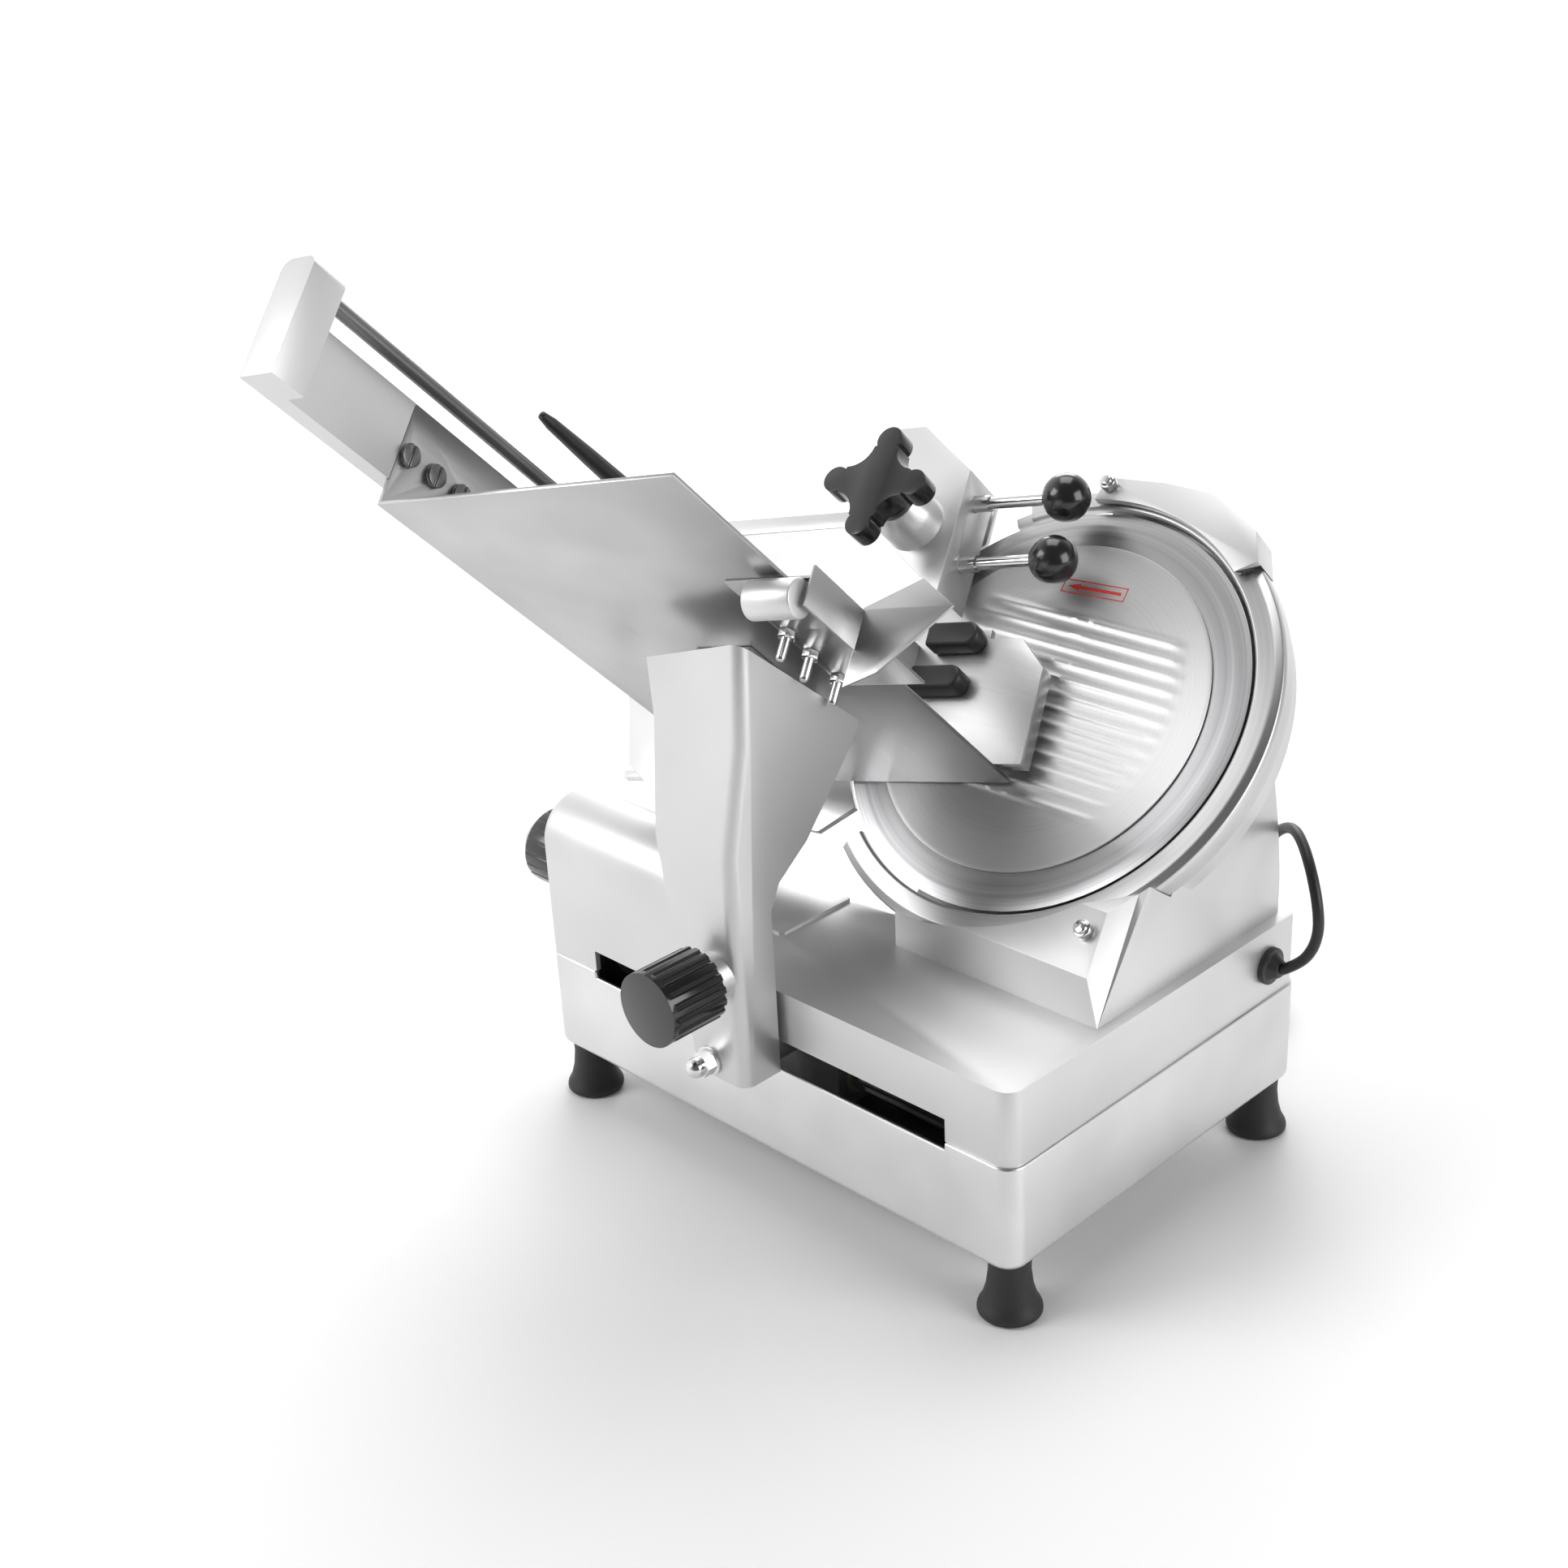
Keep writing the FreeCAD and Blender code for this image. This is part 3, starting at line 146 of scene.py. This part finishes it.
def remap(tree, value, low, high):
    node = add_node(tree, "ShaderNodeMapRange")
    node.inputs["To Min"].default_value = low
    node.inputs["To Max"].default_value = high
    tree.links.new(value, node.inputs["Value"])
    return node.outputs["Result"]


def tinted(tree, value, dark, light):
    ramp = add_node(tree, "ShaderNodeValToRGB")
    ramp.color_ramp.elements[0].position = 0.3
    ramp.color_ramp.elements[0].color = (*dark, 1)
    ramp.color_ramp.elements[1].position = 0.7
    ramp.color_ramp.elements[1].color = (*light, 1)
    tree.links.new(value, ramp.inputs["Fac"])
    return ramp.outputs["Color"]


def bumped(tree, shader, value, strength, distance):
    bump = add_node(tree, "ShaderNodeBump", Strength=strength, Distance=distance)
    tree.links.new(value, bump.inputs["Height"])
    tree.links.new(bump.outputs["Normal"], shader.inputs["Normal"])


WORLD_SPACE = Matrix.Identity(3)
GRAIN_SCALE = 14.0
GRAIN_STRENGTH = 0.12


def brushed_metal(name, light, dark, rough, space=WORLD_SPACE, stretch=(1.0, 0.02, 0.02)):
    """Metal with fine parallel grain and slow changes in its gloss."""
    material, tree, shader = new_material(name)
    shader.inputs["Metallic"].default_value = 1.0
    fine = stretched_noise(tree, space, stretch, GRAIN_SCALE, 6.0)
    cloud = stretched_noise(tree, space, (1, 1, 1), 9.0, 2.0)
    tree.links.new(tinted(tree, cloud, dark, light), shader.inputs["Base Color"])
    tree.links.new(remap(tree, fine, rough - 0.07, rough + 0.09), shader.inputs["Roughness"])
    bumped(tree, shader, fine, GRAIN_STRENGTH, 0.0004)
    return material


def cast_metal(name, light, dark, rough, metallic=1.0):
    """Blasted and anodised casting: soft gloss with a very fine even grain."""
    material, tree, shader = new_material(name)
    shader.inputs["Metallic"].default_value = metallic
    cloud = stretched_noise(tree, WORLD_SPACE, (1, 1, 1), 7.0, 2.0)
    grain = stretched_noise(tree, WORLD_SPACE, (1, 1, 1), 1600.0, 2.0)
    tree.links.new(tinted(tree, cloud, dark, light), shader.inputs["Base Color"])
    tree.links.new(remap(tree, cloud, rough - 0.05, rough + 0.05), shader.inputs["Roughness"])
    bumped(tree, shader, grain, 0.06, 0.0003)
    return material


def turned_metal(name, light, dark, rough, grain):
    """Metal ground in circles about the object's own z axis."""
    material, tree, shader = new_material(name)
    shader.inputs["Metallic"].default_value = 1.0
    coords = add_node(tree, "ShaderNodeTexCoord")
    split = add_node(tree, "ShaderNodeSeparateXYZ")
    radius = add_node(tree, "ShaderNodeVectorMath", operation="LENGTH")
    flat = add_node(tree, "ShaderNodeCombineXYZ")
    along = add_node(tree, "ShaderNodeCombineXYZ")
    noise = add_node(tree, "ShaderNodeTexNoise", Scale=900.0, Detail=4.0, Roughness=0.7)
    tree.links.new(coords.outputs["Object"], split.inputs["Vector"])
    tree.links.new(split.outputs["X"], flat.inputs["X"])
    tree.links.new(split.outputs["Y"], flat.inputs["Y"])
    tree.links.new(flat.outputs["Vector"], radius.inputs[0])
    tree.links.new(radius.outputs["Value"], along.inputs["X"])
    tree.links.new(split.outputs["Z"], along.inputs["Y"])
    tree.links.new(along.outputs["Vector"], noise.inputs["Vector"])
    tree.links.new(tinted(tree, noise.outputs["Fac"], dark, light), shader.inputs["Base Color"])
    tree.links.new(remap(tree, noise.outputs["Fac"], rough - 0.08, rough + 0.10), shader.inputs["Roughness"])
    shader.inputs["Anisotropic"].default_value = 0.6
    tangent = add_node(tree, "ShaderNodeTangent", direction_type="RADIAL", axis="Z")
    tree.links.new(tangent.outputs["Tangent"], shader.inputs["Tangent"])
    bumped(tree, shader, noise.outputs["Fac"], grain, 0.0002)
    return material


def polymer(name, colour, rough, grain=0.0, coat=0.0, scale=900.0):
    """Moulded plastic or rubber with a faint surface grain and uneven gloss."""
    material, tree, shader = new_material(name)
    cloud = stretched_noise(tree, WORLD_SPACE, (1, 1, 1), 22.0, 3.0)
    lighter = tuple(channel * 1.35 + 0.004 for channel in colour)
    tree.links.new(tinted(tree, cloud, colour, lighter), shader.inputs["Base Color"])
    tree.links.new(remap(tree, cloud, rough - 0.04, rough + 0.06), shader.inputs["Roughness"])
    shader.inputs["Coat Weight"].default_value = coat
    shader.inputs["Coat Roughness"].default_value = 0.12
    if grain > 0:
        bumped(tree, shader, stretched_noise(tree, WORLD_SPACE, (1, 1, 1), scale, 2.0), grain, 0.0004)
    return material


TRAY_SPACE = TRAY.to_3x3()
ALONG_N = (0.02, 0.02, 1.0)
MATERIALS = {
    "brushed_aluminium": brushed_metal("pan_metal", (0.78, 0.78, 0.78), (0.66, 0.66, 0.66), 0.34),
    "cast_aluminium": cast_metal("casting_metal", (0.74, 0.74, 0.74), (0.66, 0.66, 0.66), 0.42, 0.75),
    "stainless_sheet": brushed_metal(
        "sheet_metal", (0.56, 0.56, 0.56), (0.44, 0.44, 0.44), 0.30, TRAY_SPACE, ALONG_N),
    "blade_steel": turned_metal("blade_metal", (0.62, 0.62, 0.63), (0.46, 0.46, 0.47), 0.30, 0.03),
    "bright_steel": cast_metal("bright_metal", (0.80, 0.80, 0.80), (0.66, 0.66, 0.66), 0.14),
    # Painted shade: the dark colour of this steel stands for the shadow under the tray's floor.
    "dark_steel": brushed_metal(
        "shade_painted_metal", (0.26, 0.26, 0.26), (0.16, 0.16, 0.16), 0.32, TRAY_SPACE, ALONG_N),
    "black_knob": polymer("knob_black", (0.010, 0.010, 0.010), 0.20, 0.03, 0.4),
    "black_plastic": polymer("plastic_black", (0.014, 0.014, 0.014), 0.42, 0.10),
    "foot_rubber": polymer("foot_black", (0.014, 0.014, 0.014), 0.55, 0.15),
    "cord_rubber": polymer("cord_black", (0.012, 0.012, 0.012), 0.40, 0.06),
    "nylon": polymer("nylon_white", (0.68, 0.66, 0.60), 0.45, 0.05),
    "stone_grit": polymer("stone_grey", (0.30, 0.27, 0.25), 0.85, 0.6, 0.0, 2600.0),
    "motor_paint": polymer("motor_grey", (0.05, 0.055, 0.06), 0.45, 0.10),
    "green_button": polymer("button_green", (0.02, 0.28, 0.07), 0.30, 0.02, 0.3),
    "red_button": polymer("button_red", (0.50, 0.015, 0.015), 0.30, 0.02, 0.3),
}
COVER_METAL = turned_metal("cover_metal", (0.70, 0.70, 0.70), (0.62, 0.62, 0.62), 0.42, 0.02)
RING_METAL = turned_metal("ring_metal", (0.66, 0.66, 0.66), (0.56, 0.56, 0.56), 0.36, 0.03)
ARROW_RED = polymer("arrow_red", (0.62, 0.03, 0.02), 0.45, 0.02)
SLOT_OF = {entry["node"]: entry["material_slot"] for entry in frame["record"]["subparts"]}
for node_name, node_object in NODES.items():
    node_object.data.materials.clear()
    node_object.data.materials.append(MATERIALS[SLOT_OF[node_name]])


# ---- mesh helpers
BEVEL_ANGLE = 32.0
SHARP_ANGLE = 40.0
FULL_TURN = 360.0


def finish_object(name, mesh_data, material, matrix=Matrix.Identity(4), smooth_angle=35.0):
    piece = bpy.data.objects.new(name, mesh_data)
    bpy.context.scene.collection.objects.link(piece)
    piece.matrix_world = matrix
    mesh_data.materials.clear()
    mesh_data.materials.append(material)
    mesh_data.shade_smooth()
    mesh_data.set_sharp_from_angle(angle=math.radians(smooth_angle))
    return piece


def from_bmesh(name, bm, material, matrix=Matrix.Identity(4), smooth_angle=35.0):
    bmesh.ops.recalc_face_normals(bm, faces=bm.faces)
    mesh_data = bpy.data.meshes.new(name)
    bm.to_mesh(mesh_data)
    bm.free()
    return finish_object(name, mesh_data, material, matrix, smooth_angle)


def stand_for(piece, node):
    """The piece replaces a CAD node and rides on that node's body."""
    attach(piece, NODES[node]["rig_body"])
    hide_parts(node)
    return piece


def apply_modifier(piece, kind, **settings):
    modifier = piece.modifiers.new("step", kind)
    for key, value in settings.items():
        setattr(modifier, key, value)
    depsgraph = bpy.context.evaluated_depsgraph_get()
    bpy.context.view_layer.update()
    made = bpy.data.meshes.new_from_object(piece.evaluated_get(depsgraph))
    piece.modifiers.clear()
    piece.data = made


def softened(node, width, segments):
    """Copy of a CAD node with its sharp edges rounded over, standing for the node."""
    bm = bmesh.new()
    bm.from_mesh(NODES[node].data)
    bmesh.ops.remove_doubles(bm, verts=bm.verts, dist=1e-6)
    bmesh.ops.dissolve_limit(bm, angle_limit=math.radians(1.0), verts=bm.verts, edges=bm.edges)
    piece = from_bmesh(node + ".soft", bm, MATERIALS[SLOT_OF[node]])
    apply_modifier(piece, "BEVEL", width=width * MM, segments=segments, limit_method="ANGLE",
                   angle_limit=math.radians(BEVEL_ANGLE), harden_normals=False, use_clamp_overlap=True)
    piece.data.shade_smooth()
    piece.data.set_sharp_from_angle(angle=math.radians(SHARP_ANGLE))
    return stand_for(piece, node)


def lathe(bm, profile, matrix=Matrix.Identity(4), steps=96, start=0.0, end=FULL_TURN):
    """Turns (radius, height) points in millimetres about z."""
    closed = abs(end - start) >= FULL_TURN
    count = steps if closed else steps + 1
    rings = []
    for index in range(count):
        angle = math.radians(start + (end - start) * index / steps)
        row = []
        for radius, height in profile:
            point = Vector((radius * math.cos(angle), radius * math.sin(angle), height)) * MM
            row.append(bm.verts.new(matrix @ point))
        rings.append(row)
    size = len(profile)
    for index in range(steps):
        here, there = rings[index], rings[(index + 1) % count]
        for step in range(size):
            quad = [here[step], there[step], there[(step + 1) % size], here[(step + 1) % size]]
            bm.faces.new(quad)
    if not closed:
        bm.faces.new(rings[0])
        bm.faces.new(rings[-1])
    bmesh.ops.remove_doubles(bm, verts=bm.verts, dist=1e-7)


def add_rounds(profile, radius, steps=4):
    """The closed profile with each corner cut to an arc of about the radius."""
    points = []
    size = len(profile)
    for index in range(size):
        before, corner, after = (Vector(profile[(index + k) % size]) for k in (-1, 0, 1))
        if corner.x <= 0:
            points.append(tuple(corner))
            continue
        into, out = before - corner, after - corner
        reach = min(radius, into.length * 0.45, out.length * 0.45)
        start, end = corner + into.normalized() * reach, corner + out.normalized() * reach
        for step in range(steps + 1):
            t = step / steps
            points.append(tuple(start.lerp(corner, t).lerp(corner.lerp(end, t), t)))
    return points


# ---- the free cord: exit, drop and coil
CORD_DIAMETER = 7.5
CORD_ROUTE = [
    (226, 117, 143.5), (239.1, 117, 152.7), (248.1, 117.3, 166), (251.7, 117.6, 181.6),
    (249.4, 118.6, 197.4), (243, 122.6, 211.5), (233.4, 130.3, 222), (222, 140.4, 228),
    (209.8, 151.3, 229.2), (197.5, 160.8, 224.5), (185.3, 167.2, 214.8), (174.7, 171.1, 199.6),
    (165.6, 174, 177.6), (159, 176.4, 148.4), (155.8, 179, 116.7), (153.9, 182.8, 85),
    (152.9, 188.6, 57.4), (151.9, 197.6, 36), (149.8, 211.5, 19.8), (143.8, 231.5, 8.6),
]
COIL_CENTRE = (91.0, 250.0)
COIL_MEAN = 43.0
COIL_OUTER = COIL_MEAN + CORD_DIAMETER / 2
COIL_INNER = COIL_MEAN - CORD_DIAMETER / 2
COIL_ROWS = ((COIL_OUTER, 3.8), (COIL_INNER, 3.8), (COIL_INNER, 11.3), (COIL_OUTER, 11.3))
TURN_POINTS = 16


def coil_point(radius, height, step):
    angle = 2 * math.pi * step / TURN_POINTS
    return COIL_CENTRE[0] + radius * math.cos(angle), COIL_CENTRE[1] + radius * math.sin(angle), height


def coil_points():
    """Four turns, two beside each other and two on top; each glides to the next in its last steps."""
    points = []
    glide = 4
    for row, (radius, height) in enumerate(COIL_ROWS):
        following = COIL_ROWS[min(row + 1, len(COIL_ROWS) - 1)]
        for step in range(TURN_POINTS):
            t = max(0.0, (step - (TURN_POINTS - glide)) / glide)
            r = radius + (following[0] - radius) * t
            z = height + (following[1] - height) * t
            points.append(coil_point(r, z, step))
    quarter = TURN_POINTS // 4
    radius, height = COIL_ROWS[-1]
    for step in range(quarter + 1):
        points.append(coil_point(radius, height, step))
    points.append((COIL_CENTRE[0] - 12, COIL_CENTRE[1] + radius, 11.5))
    return points


def nurbs_curve(name, points, diameter, material):
    curve = bpy.data.curves.new(name, "CURVE")
    curve.dimensions = "3D"
    curve.bevel_depth = diameter / 2 * MM
    curve.bevel_resolution = 5
    curve.resolution_u = 8
    curve.use_fill_caps = True
    spline = curve.splines.new("NURBS")
    spline.points.add(len(points) - 1)
    for slot_point, point in zip(spline.points, points):
        slot_point.co = (*at_base(*point), 1)
    spline.order_u = 3
    spline.use_endpoint_u = True
    piece = bpy.data.objects.new(name, curve)
    bpy.context.scene.collection.objects.link(piece)
    curve.materials.append(material)
    return piece


cord_points = CORD_ROUTE + coil_points()
cord = nurbs_curve("mains_cord", cord_points, CORD_DIAMETER, MATERIALS["cord_rubber"])
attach(cord, "chassis")
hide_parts("power_cord", "cord_coil")


def curve_length(piece):
    """Length of the smooth line itself, without its bevel."""
    bare = piece.copy()
    bare.data = piece.data.copy()
    bare.data.bevel_depth = 0
    bpy.context.scene.collection.objects.link(bare)
    bpy.context.view_layer.update()
    line = bpy.data.meshes.new_from_object(bare.evaluated_get(bpy.context.evaluated_depsgraph_get()))
    ends = [[line.vertices[index].co for index in edge.vertices] for edge in line.edges]
    total = sum((first - second).length for first, second in ends)
    bpy.data.objects.remove(bare)
    return total


CORD_LENGTH = curve_length(cord)
print("cord length", round(CORD_LENGTH, 3))


# ---- castings and sheets with their edges rounded over
SOFT_EDGES = {
    "base_pan": 1.6, "deck_housing": 2.0, "motor_tower": 2.5, "guard_top_cap": 2.0, "carriage_arm": 2.0,
    "sharpener_body": 1.5, "rod_brackets": 1.5, "pusher_plate": 0.8, "pusher_pads": 2.5, "gauge_plate": 1.2,
    "tray_mount": 1.0, "product_tray": 0.8, "hand_guard": 0.5, "sharpener_knob": 4.0, "index_knob": 1.5,
    "carriage_knob": 1.5, "cover_release_knob": 1.5, "bracket_screws": 0.5, "arm_bolt": 0.6,
    "guard_screws": 0.8, "mount_bolts": 0.4, "power_plug": 1.2, "pusher_arm": 1.5, "switch_panel": 0.6,
    "carriage_block": 1.5,
    "gauge_support": 1.0, "start_button": 0.8, "stop_button": 0.8, "cord_gland": 0.8,
}
for soft_node, soft_width in SOFT_EDGES.items():
    softened(soft_node, soft_width, 3 if soft_width > 1.4 else 2)


# ---- turned parts, drawn in the blade's own frame
COVER_RADIUS = 123.5
RIDGE_PITCH = 11.0
RIDGE_HEIGHT = 0.9
DECK_TOP = 0.1718
COVER_CENTRE = 1.2
COVER_STEP = 1.92
COVER_RINGS = 64
RIDGED_HALF = 74.0
ARROW_TOP = 3.12
ARROW_THICK = 0.11
ARROW_TURN = 3.5
FOOT_X = 200
FOOT_Y = 136


def turned_piece(name, profile, material, rounds, **turn):
    bm = bmesh.new()
    lathe(bm, add_rounds(profile, rounds), **turn)
    return from_bmesh(name, bm, material, BLADE, 30.0)


def add_blade():
    profile = [(10.02, -9), (32, -9), (36, -6.5), (112, -6.5), (149.9, -0.5), (150, 0), (141, 0.7),
               (127, 1.0), (112, 1.0), (108, -3), (36, -3), (32, -3.6), (10.02, -3.6)]
    stand_for(turned_piece("blade.turned", profile, MATERIALS["blade_steel"], 0.5, steps=256), "blade")


def add_ring():
    """Rim guard with a rolled inner lip, a flat land and a rounded outer wall."""
    profile = [(152.5, -3), (152.5, 1.5), (154, 3.0), (166, 2.2), (171, -0.5), (172, -3.5), (172, -15.5),
               (168.5, -15.5), (168.5, -5), (160, -3)]
    bm = bmesh.new()
    lathe(bm, add_rounds(profile, 1.0), steps=200, start=-125.0, end=122.0)
    deck_point = BLADE.inverted() @ Vector((0, 0, DECK_TOP))
    deck_up = BLADE.to_3x3().inverted() @ Vector((0, 0, 1))
    everything = bm.verts[:] + bm.edges[:] + bm.faces[:]
    cut = bmesh.ops.bisect_plane(bm, geom=everything, plane_co=deck_point, plane_no=deck_up, clear_inner=True)
    rim = [item for item in cut["geom_cut"] if isinstance(item, bmesh.types.BMEdge)]
    bmesh.ops.holes_fill(bm, edges=rim)
    stand_for(from_bmesh("ring.turned", bm, RING_METAL, BLADE, 30.0), "ring_guard")


def cover_height(x, y):
    """Top of the cover: long smooth ridges that fade out before the rim."""
    reach = 0.84 * math.sqrt(max(COVER_RADIUS ** 2 - y ** 2, 0.0))
    edge = min(max((RIDGED_HALF - abs(y)) / 4.0, 0.0), 1.0)
    fade = min(max((reach - abs(x)) / 16.0, 0.0), 1.0) * edge
    wave = 0.5 + 0.5 * math.cos(2 * math.pi * y / RIDGE_PITCH)
    smooth_fade = fade * fade * (3 - 2 * fade)
    return 3.0 + RIDGE_HEIGHT * wave ** 3 * smooth_fade


def add_cover():
    bm = bmesh.new()
    steps = 288
    angles = [2 * math.pi * step / steps for step in range(steps)]
    radii = [COVER_CENTRE + COVER_STEP * index for index in range(COVER_RINGS)]
    under = ((123.2, 2.9), (COVER_RADIUS, 2.4), (COVER_RADIUS, 1.4), (104.0, 1.4), (104.0, -1.8),
             (60.0, -1.8), (60.0, 1.4), (4.6, 1.4))
    rings = []
    for radius in radii:
        flat = [(radius * math.cos(angle), radius * math.sin(angle)) for angle in angles]
        rings.append([bm.verts.new(Vector((x, y, cover_height(x, y))) * MM) for x, y in flat])
    for radius, height in under:
        flat = [(radius * math.cos(angle), radius * math.sin(angle)) for angle in angles]
        rings.append([bm.verts.new(Vector((x, y, height)) * MM) for x, y in flat])
    for inner, outer in zip(rings, rings[1:]):
        for step in range(steps):
            following = (step + 1) % steps
            bm.faces.new((inner[step], inner[following], outer[following], outer[step]))
    bm.faces.new(rings[0])
    bm.faces.new(rings[-1])
    stand_for(from_bmesh("cover.turned", bm, COVER_METAL, BLADE, 30.0), "blade_cover")


def add_arrow():
    """Plain red arrow in a frame on the cover, showing which way the blade turns."""
    bm = bmesh.new()
    left, right, low, high = -24.0, 28.0, 84.5, 95.0
    line = 0.8
    strips = [(left, right, low, low + line), (left, right, high - line, high),
              (left, left + line, low, high), (right - line, right, low, high),
              (left + 14, right - 4, 88.6, 91.0)]
    for x0, x1, y0, y1 in strips:
        corners = [(x0, y0), (x1, y0), (x1, y1), (x0, y1)]
        bm.faces.new([bm.verts.new(Vector((x, y, ARROW_TOP)) * MM) for x, y in corners])
    tip = [(left + 4, 89.8), (left + 14, 87.0), (left + 14, 92.6)]
    bm.faces.new([bm.verts.new(Vector((x, y, ARROW_TOP)) * MM) for x, y in tip])
    lifted = bmesh.ops.extrude_face_region(bm, geom=bm.faces[:])
    raised = [item for item in lifted["geom"] if isinstance(item, bmesh.types.BMVert)]
    bmesh.ops.translate(bm, verts=raised, vec=Vector((0, 0, -ARROW_THICK)) * MM)
    turn = Matrix.Rotation(math.radians(ARROW_TURN), 4, "Z")
    arrow = from_bmesh("cover_arrow", bm, ARROW_RED, BLADE @ turn)
    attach(arrow, "chassis")


def add_feet():
    """Four rubber feet with a flared skirt."""
    profile = [(0, 0), (18.5, 0), (21, 1.5), (20.8, 5), (17.5, 11), (15, 20), (13.6, 32), (13.8, 39),
               (14.5, 42), (0, 42)]
    bm = bmesh.new()
    for x in (-FOOT_X, FOOT_X):
        for y in (-FOOT_Y, FOOT_Y):
            place = Matrix.Translation(at_base(x, y, 0))
            lathe(bm, add_rounds(profile, 1.5), place, steps=64)
    stand_for(from_bmesh("feet.turned", bm, MATERIALS["foot_rubber"]), "feet")


add_blade()
add_ring()
add_cover()
add_arrow()
add_feet()


# ---- stage and light
FLOOR_HALF = 2.6
GLOW_DIRECTION = (-0.72, 0.69, 0.0)
GLOW_STARTS = 0.5
GLOW_FULL = 1.7
GLOW_STRENGTH = 0.6
DARK_SIDE = (0.72, -0.25, 0.65)
WORLD_STRENGTH = 1.15


def add_floor():
    """Pale floor; its part behind the machine glows a little, to be as light as the studio beyond it."""
    bm = bmesh.new()
    bmesh.ops.create_grid(bm, x_segments=1, y_segments=1, size=FLOOR_HALF)
    material, tree, shader = new_material("floor_pale")
    shader.inputs["Base Color"].default_value = (0.97, 0.97, 0.97, 1)
    shader.inputs["Roughness"].default_value = 0.6
    coords = add_node(tree, "ShaderNodeTexCoord")
    behind = add_node(tree, "ShaderNodeVectorMath", operation="DOT_PRODUCT")
    behind.inputs[1].default_value = GLOW_DIRECTION
    tree.links.new(coords.outputs["Object"], behind.inputs[0])
    glow = add_node(tree, "ShaderNodeMapRange", interpolation_type="SMOOTHSTEP")
    glow.inputs["From Min"].default_value = GLOW_STARTS
    glow.inputs["From Max"].default_value = GLOW_FULL
    glow.inputs["To Max"].default_value = GLOW_STRENGTH
    tree.links.new(behind.outputs["Value"], glow.inputs["Value"])
    tree.links.new(glow.outputs["Result"], shader.inputs["Emission Strength"])
    shader.inputs["Emission Color"].default_value = (1, 1, 1, 1)
    floor = from_bmesh("floor", bm, material, Matrix.Translation((0, 0, -0.0002)))


def add_area(name, location, target, size, power):
    data = bpy.data.lights.new(name, "AREA")
    data.shape = "RECTANGLE"
    data.size, data.size_y = size
    data.energy = power
    lamp = bpy.data.objects.new(name, data)
    direction = Vector(target) - Vector(location)
    lamp.matrix_world = Matrix.Translation(location) @ direction.to_track_quat("-Z", "Y").to_matrix().to_4x4()
    bpy.context.scene.collection.objects.link(lamp)


def add_world():
    """White studio to the left and behind, darker above and on the right."""
    world = bpy.data.worlds.new("studio")
    bpy.context.scene.world = world
    world.use_nodes = True
    tree = world.node_tree
    background = tree.nodes["Background"]
    coords = add_node(tree, "ShaderNodeTexCoord")
    toward_dark = add_node(tree, "ShaderNodeVectorMath", operation="DOT_PRODUCT")
    toward_dark.inputs[1].default_value = DARK_SIDE
    tree.links.new(coords.outputs["Generated"], toward_dark.inputs[0])
    share = add_node(tree, "ShaderNodeMapRange")
    share.inputs["From Min"].default_value = -1.0
    share.inputs["From Max"].default_value = 1.0
    tree.links.new(toward_dark.outputs["Value"], share.inputs["Value"])
    ramp = add_node(tree, "ShaderNodeValToRGB")
    ramp.color_ramp.elements[0].position = 0.42
    ramp.color_ramp.elements[0].color = (1.0, 1.0, 1.0, 1)
    ramp.color_ramp.elements[1].position = 0.80
    ramp.color_ramp.elements[1].color = (0.10, 0.10, 0.10, 1)
    tree.links.new(share.outputs["Result"], ramp.inputs["Fac"])
    tree.links.new(ramp.outputs["Color"], background.inputs["Color"])
    background.inputs["Strength"].default_value = WORLD_STRENGTH


add_floor()
add_world()
TARGET = (0.0, 0.0, 0.3)  # the middle of the machine
add_area("key", (-1.5, -2.2, 1.9), TARGET, (1.5, 1.5), 36)
add_area("top", (-0.4, 0.7, 2.7), TARGET, (1.6, 1.6), 26)
add_area("back", (-1.6, 2.2, 1.6), TARGET, (1.6, 1.0), 22)
add_area("side", (2.6, 0.5, 1.1), TARGET, (1.6, 1.6), 34)
bpy.context.scene.view_settings.view_transform = "Standard"
